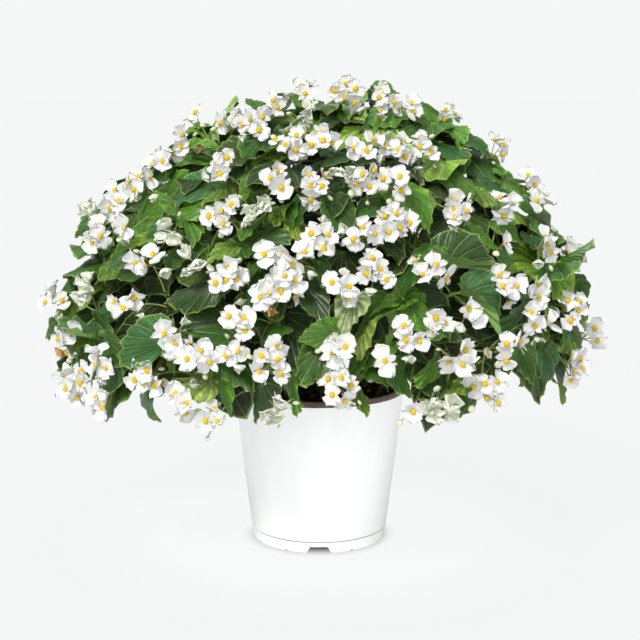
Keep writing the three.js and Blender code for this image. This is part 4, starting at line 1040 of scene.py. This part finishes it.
# Each head as (x, y, open flowers), x and y in pixels of the photograph.
HEADS_SEEN = [
    (197, 118, 2), (180, 144, 5), (160, 164, 3), (140, 181, 6), (116, 199, 4), (92, 208, 1),
    (98, 233, 4), (124, 228, 2), (232, 120, 4), (257, 123, 4), (277, 102, 3), (304, 88, 5),
    (306, 112, 1), (288, 141, 6), (320, 138, 6), (219, 167, 4), (169, 232, 1), (146, 260, 5),
    (224, 214, 6), (257, 208, 1), (275, 180, 5), (314, 184, 6), (191, 260, 1), (225, 276, 6),
    (265, 252, 2), (296, 257, 5), (286, 283, 6), (320, 238, 4), (263, 294, 3), (84, 290, 1),
    (54, 298, 6), (126, 303, 4), (66, 342, 4), (100, 364, 4), (72, 384, 7), (101, 399, 3),
    (171, 341, 4), (198, 356, 4), (143, 378, 6), (183, 402, 5), (213, 423, 3), (240, 320, 4),
    (230, 352, 3), (273, 361, 7), (276, 412, 1), (347, 93, 7), (384, 100, 6), (414, 106, 3),
    (450, 110, 4), (366, 146, 5), (397, 146, 6), (424, 147, 5), (347, 172, 1), (368, 178, 6),
    (394, 181, 4), (498, 148, 5), (459, 206, 6), (506, 205, 4), (530, 179, 3), (541, 204, 3),
    (397, 222, 7), (361, 233, 4), (376, 272, 6), (343, 288, 5), (432, 272, 4), (472, 310, 3),
    (503, 246, 2), (547, 246, 4), (574, 250, 5), (507, 284, 5), (534, 293, 3), (538, 322, 5),
    (572, 308, 6), (440, 318, 3), (411, 338, 4), (459, 358, 4), (508, 349, 4), (593, 337, 3),
    (577, 368, 7), (488, 389, 7), (341, 386, 7), (342, 352, 3), (387, 359, 2), (413, 413, 2),
    (430, 409, 1), (450, 409, 1),
]


heads = []


def add_head(root, middle, flowers, turn):
    """Notes a head: root lies in its spray's solid, and its flowers open round middle."""
    item = len(heads)
    lean = np.array((draw(item, 1) - 0.5, draw(item, 2) - 0.5, draw(item, 3) - 0.3))
    axis = unit(outward(middle) * 0.6 + lean * 0.3 + turn)
    centre = middle - axis * (HEAD_RADIUS + HEAD_GROWTH * flowers)
    placed = {"item": item, "root": root, "centre": centre, "axis": axis}
    heads.append({**placed, "turn": turn, "open": flowers})


for x, y, flowers in HEADS_SEEN:
    middle = seen_at(x, y, BLOOM_DEPTH)
    add_head(seen_at(x, y, HEAD_DEPTH), middle, flowers, unit(EYE - middle) * SEEN_SIDE_TURN)
for i in range(0, len(HEADS_SEEN), BACK_STEP):
    seen = heads[i]["root"]
    if seen[1] > -BACK_CLEAR:
        continue
    opposite = math.atan2(seen[0] / DOME_WIDE, -seen[1] / DOME_DEEP) + math.pi
    bearing = opposite + mix(-0.08, 0.08, draw(i, 6))
    z = min(BACK_HIGH, max(BACK_LOW, seen[2] + mix(-0.010, 0.010, draw(i, 5))))
    flowers = min(MOST_FLOWERS, HEADS_SEEN[i][2] + 3)
    add_head(on_dome(bearing, z, HEAD_DEPTH), on_dome(bearing, z, BLOOM_DEPTH), flowers, np.zeros(3))

# Each head belongs to the spray whose solid it lies in.
spray_points = {}
for name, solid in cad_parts.items():
    if name.startswith("flower_spray"):
        spray_points[name] = np.array([v.co[:] for v in solid.data.vertices])
spray_heads = {name: [] for name in spray_points}
for head in heads:
    far = {n: np.linalg.norm(p - head["root"], axis=1).min() for n, p in spray_points.items()}
    spray_heads[min(far, key=far.get)].append(head)


def tepal(length, width, item, use, lift, bend, cup, closed):
    """A tepal along X, broadest past its middle, frilled: (points, triangles, marks).

    It leaves the claw at the angle lift and bends up by the angle bend over its length."""
    rows = (1 - np.cos(np.linspace(0.12, 0.97, 6) * math.pi)) / 2
    columns = np.linspace(-1, 1, 11 if closed < 0.25 else 9)
    t, s = np.meshgrid(rows, columns, indexing="ij")
    off = np.abs(s)
    one, two = 6.28 * draw(item, use), 6.28 * draw(item, use + 0.5)
    half = width / 2 * np.sin(math.pi * t**1.2) ** mix(0.5, 0.8, closed)
    half *= 1 + 0.1 * np.sin(5 * t + one) * np.sign(s) * t
    frill = 0.06 * np.sin(3.6 * s + two) + 0.05 * np.sin(8.6 * s + one) + 0.04 * np.sin(13 * s + two)
    way = lift + bend * (t - 0.05 * s**2 * t + frill * t**3)
    flutter = 0.07 * (np.sin(3.2 * s + 2.2 * t + one) + 0.6 * np.sin(6.5 * s + 4 * t + two) * off)
    pleats = mix(0.04, 0.06, closed) * np.sin(9.5 * s + one + two)
    proud = cup * off**1.6 * half + (flutter + pleats) * width * t
    x = length * (np.sin(way) - math.sin(lift)) / bend - np.sin(way) * proud
    y = half * s * (1 + 0.08 * np.sin(11 * t + two) * off)
    z = length * (math.cos(lift) - np.cos(way)) / bend + np.cos(way) * proud
    points = np.stack([x, y, z], -1).reshape(-1, 3)
    marks = np.stack([s, t, np.full_like(t, closed)], -1).reshape(-1, 3)
    return points, grid(len(rows), len(columns)), marks


ball = bmesh.new()
bmesh.ops.create_icosphere(ball, subdivisions=2, radius=1)
BOSS_POINTS = np.array([v.co[:] for v in ball.verts])
BOSS_TRIANGLES = np.array([[v.index for v in f.verts] for f in ball.faces])
ball.free()
TONE_OPEN = linear("#EFEFEC")
TONE_FOLDED = linear("#F8FAEC")
TONE_FADED = linear("#C79A5C")
TONE_BUD = linear("#DDE3BE")
STALK_GREEN = linear("#8FA055")
STALK_TAN = linear("#C9B583")


def square_to(way, rough):
    """Two ways that are square to a way and to each other, the first square to rough as well."""
    side = unit(np.cross(way, rough))
    return side, np.cross(way, side)


def add_flower(parts, item, use, base, facing, size, closed, tone):
    """Four tepals, two of them broad, and the stamens. closed is 0 wide open to 1 folded."""
    facing = unit(facing)
    side, other = square_to(facing, (0.02, 0.03, 1.0))
    spin = math.pi / 2 + 1.8 * (draw(item, use) - 0.5)
    for k in range(4):
        broad = k % 2 == 0
        angle = spin + k * math.pi / 2 + 0.3 * (draw(item, use + 1 + k) - 0.5)
        length, width = (size * share for share in (BROAD_TEPAL if broad else NARROW_TEPAL))
        length *= mix(0.86, 1.12, draw(item, use + 5 + k))
        width *= mix(0.85, 1.1, draw(item, use + 26 + k))
        lift = mix(0.06 if broad else 0.16, 0.8, closed) + 0.5 * (draw(item, use + 9 + k) - 0.5)
        lift += 0.5 if draw(item, use + 41 + k) > 0.8 else 0
        bend = mix(0, 1.5, closed) + 0.9 * (draw(item, use + 13 + k) - 0.55)
        bend = bend if abs(bend) > LEAST_BEND else LEAST_BEND
        cup = mix(0.2, 0.5, closed) * mix(-0.3, 1.6, draw(item, use + 31 + k))
        cup += 0.8 if draw(item, use + 36 + k) > 0.78 else 0
        points, triangles, marks = tepal(length, width, item, use + 17 + k, lift, bend, cup, closed)
        c, s = math.cos(angle), math.sin(angle)
        placed = points @ np.array((side * c + other * s, other * c - side * s, facing))
        over = 0.0002 if broad else 0.0006
        parts.add(base + placed + facing * over, triangles, 0, marks, tone)
    if closed < 0.5:
        bumps = 1 + 0.2 * np.array([draw(item + i, 50) - 0.5 for i in range(len(BOSS_POINTS))])
        knobs = BOSS_POINTS * bumps[:, None] * BOSS_RADIUS * mix(0.88, 1.1, draw(item, use + 22))
        placed = knobs @ np.array((side, other * 1.1, facing * 0.9)) + facing * 0.0021
        parts.add(base + placed, BOSS_TRIANGLES, 1, BOSS_POINTS, tone)


def add_bud(parts, base, way, size):
    """A pair of rounded tepals shut like a purse."""
    way = unit(way)
    side, other = square_to(way, (0.2, 0.1, 1.0))
    form = BOSS_POINTS * np.array((size, size * 0.62, size * 1.12)) + np.array((0, 0, size))
    form[:, 0] *= 1 + 0.18 * (form[:, 2] / size - 1)
    marks = BOSS_POINTS * np.array((1, 0.5, 1))
    parts.add(base + form @ np.array((side, other, way)), BOSS_TRIANGLES, 0, marks, TONE_BUD)


def add_stalk(parts, start, end, tone, radii, bow, sides):
    """A stalk from start to end that bows up, and a little aside, by a share of its length."""
    length = np.linalg.norm(end - start)
    aside = unit(np.cross(end - start, (0, 0, 1.0))) * (draw(length * 9000, 6) - 0.5)
    t = np.linspace(0, 1, 5 if sides < 5 else 9)[:, None]
    path = start + (end - start) * t + (aside - DOWN) * bow * length * 4 * t * (1 - t)
    points, triangles = tube(path, np.linspace(*radii, len(t)), sides)
    parts.add(points, triangles, 2, (0, 0, 0), tone)


def add_head_flowers(parts, head):
    """The open flowers of a head over its cap, others side-on round it, and its hanging buds."""
    item, centre, axis = head["item"], head["centre"], head["axis"]
    side, other = square_to(axis, (0.05, 0.08, 1.0))
    level = unit(centre * (1, 1, 0) + (0, -0.03, 0)) * 0.7 + head["turn"] * 1.2
    folded = head["open"] == 1
    flowers = 3 if folded else max(1, round(head["open"] * BLOOM_SHARE))
    cap = math.radians(CAPS.get(flowers, WIDEST_CAP))
    turn = 6.28 * draw(item, 60)

    def out_of(centre_turn, tilt):
        across = side * math.cos(centre_turn) + other * math.sin(centre_turn)
        return axis * math.cos(tilt) + across * math.sin(tilt)

    for i in range(flowers):
        tilt = cap * math.sqrt((i + 0.5) / flowers) * mix(0.9, 1.1, draw(item, 61 + i))
        way = out_of(turn + i * GOLDEN, tilt)
        reach = BLOOM_REACH + BLOOM_GROWTH * flowers + 0.006 * (draw(item, 71 + i) - 0.5)
        place = centre + way * (reach * (0.5 if folded else 1))
        lean = np.array([draw(item, 81 + i * 3 + k) - 0.5 for k in range(3)])
        facing = unit(way * 0.6 + level * 0.6 + lean * 1.3)
        size = BLOOM_RADIUS * mix(0.86, 1.12, draw(item, 111 + i)) * (1.12 if flowers < 4 else 1)
        size *= mix(1.05, 0.9, min(1, max(0, (place[2] - 0.30) / 0.12))) * (1.12 if folded else 1)
        closed = mix(0.5, 0.8, draw(item, 121 + i)) if folded else 0.2 * draw(item, 121 + i)
        tone = TONE_FOLDED if folded else TONE_OPEN
        add_flower(parts, item * 9 + i, 200, place, facing, size, closed, tone)
        add_stalk(parts, centre, place, STALK_TAN, **PEDICEL)
    for i in range(0 if folded else flowers // 2):
        way = out_of(turn + 1.2 + i * GOLDEN, cap + mix(0.2, 0.5, draw(item, 171 + i)))
        place = centre + way * mix(0.011, 0.015, draw(item, 176 + i))
        size = BLOOM_RADIUS * mix(0.72, 0.92, draw(item, 181 + i))
        closed = mix(0.3, 0.9, draw(item, 186 + i))
        tone = TONE_FOLDED if closed > 0.5 else TONE_OPEN
        tone = TONE_FADED if draw(item, 191 + i) < FADED_SHARE else tone
        add_flower(parts, item * 9 + i, 300, place, way + DOWN * 0.3, size, closed, tone)
        add_stalk(parts, centre, place, STALK_GREEN, **PEDICEL)
    for i in range(int(2.6 * draw(item, 131))):
        way = out_of(turn + 2.1 + i * 1.9, cap + 0.25 + 0.3 * draw(item, 132 + i))
        place = centre + way * mix(0.012, 0.018, draw(item, 141 + i))
        add_bud(parts, place, way + DOWN * 0.5, mix(0.0018, 0.0033, draw(item, 161 + i)))
        add_stalk(parts, centre, place, STALK_GREEN, **BUD_PEDICEL)


# Tepals: thin and full of water. The eye gets a soft white sheen that is broken up by crumples about
# 2 mm wide, and a cream-green claw.
petal, tree, shader = finish("tepal, crystalline white", {"Roughness": 0.6, "IOR": 1.35})
mark = node(tree, "Attribute", out="Vector", attribute_name="mark")
aside, along, closed = node(tree, "SeparateXYZ", [mark], out=None)
tone = node(tree, "Attribute", attribute_name="tone")
place = node(tree, "TexCoord", out="Object")
claw = node(tree, "MapRange", (along, 0.0, 0.4, 0.4, 0.0))
tinted = node(tree, "MixRGB", (claw, tone, linear("#EAF0BE")))
spread = node(tree, "CombineXYZ", (aside, along, 0.0))
lines = node(tree, "TexWave", {"Vector": spread, "Scale": 1.6, "Distortion": 1.2}, out="Fac")
# Folded ones show their veins in pale green.
greened = node(tree, "MapRange", (lines, 0.55, 1.0, 0.0, 0.5))
greened = node(tree, "Math", (greened, closed), operation="MULTIPLY")
tinted = node(tree, "MixRGB", (greened, tinted, linear("#C4D48E")))
crumple = node(tree, "TexNoise", {"Vector": place, "Scale": 420.0, "Detail": 4.0, "Roughness": 0.65})
height = node(tree, "Math", (lines, 0.25, crumple), operation="MULTIPLY_ADD")
bump = node(tree, "Bump", {"Height": height, "Strength": 0.5, "Distance": 0.0014})
wire(shader, {"Base Color": tinted, "Normal": bump})

# Stamens: a ball of blunt anthers a millimetre apart, dusty yellow with orange between them.
stamens, tree, shader = finish("anthers, pollen dusted", {"Roughness": 0.75})
place = node(tree, "TexCoord", out="Object")
cells = node(tree, "TexVoronoi", {"Vector": place, "Scale": 1100.0}, out="Distance")
yellows = [(0.0, "#F4D822"), (0.45, "#EAC60E"), (0.9, "#D4A20A")]
shade = node(tree, "ValToRGB", [cells], stops=yellows)
bump = node(tree, "Bump", {"Height": cells, "Strength": 0.8, "Distance": 0.0005}, invert=True)
wire(shader, {"Base Color": shade, "Normal": bump})

for name, group in sorted(spray_heads.items()):
    parts = Parts()
    middle = np.mean([head["centre"] for head in group], axis=0)
    fork = middle - outward(middle) * FORK_DEPTH
    # The stalk leaves its cane where the spray's solid comes nearest to one.
    best = (1e9, None)
    for limb in limbs:
        for share in np.arange(0.1, 0.99, LIMB_STEP):
            p = limb.at(share)
            far = np.linalg.norm(spray_points[name] - p, axis=1).min() - limb.radius
            if far < best[0]:
                best = (far, p)
    add_stalk(parts, best[1], fork, STALK_GREEN, **STALK)
    for head in group:
        add_stalk(parts, fork, head["centre"], STALK_GREEN, **ARM)
        add_head_flowers(parts, head)
    mesh = parts.mesh(name + "_flowers")
    add_object(name + "_flowers", mesh, (petal, stamens, green_stem), name)
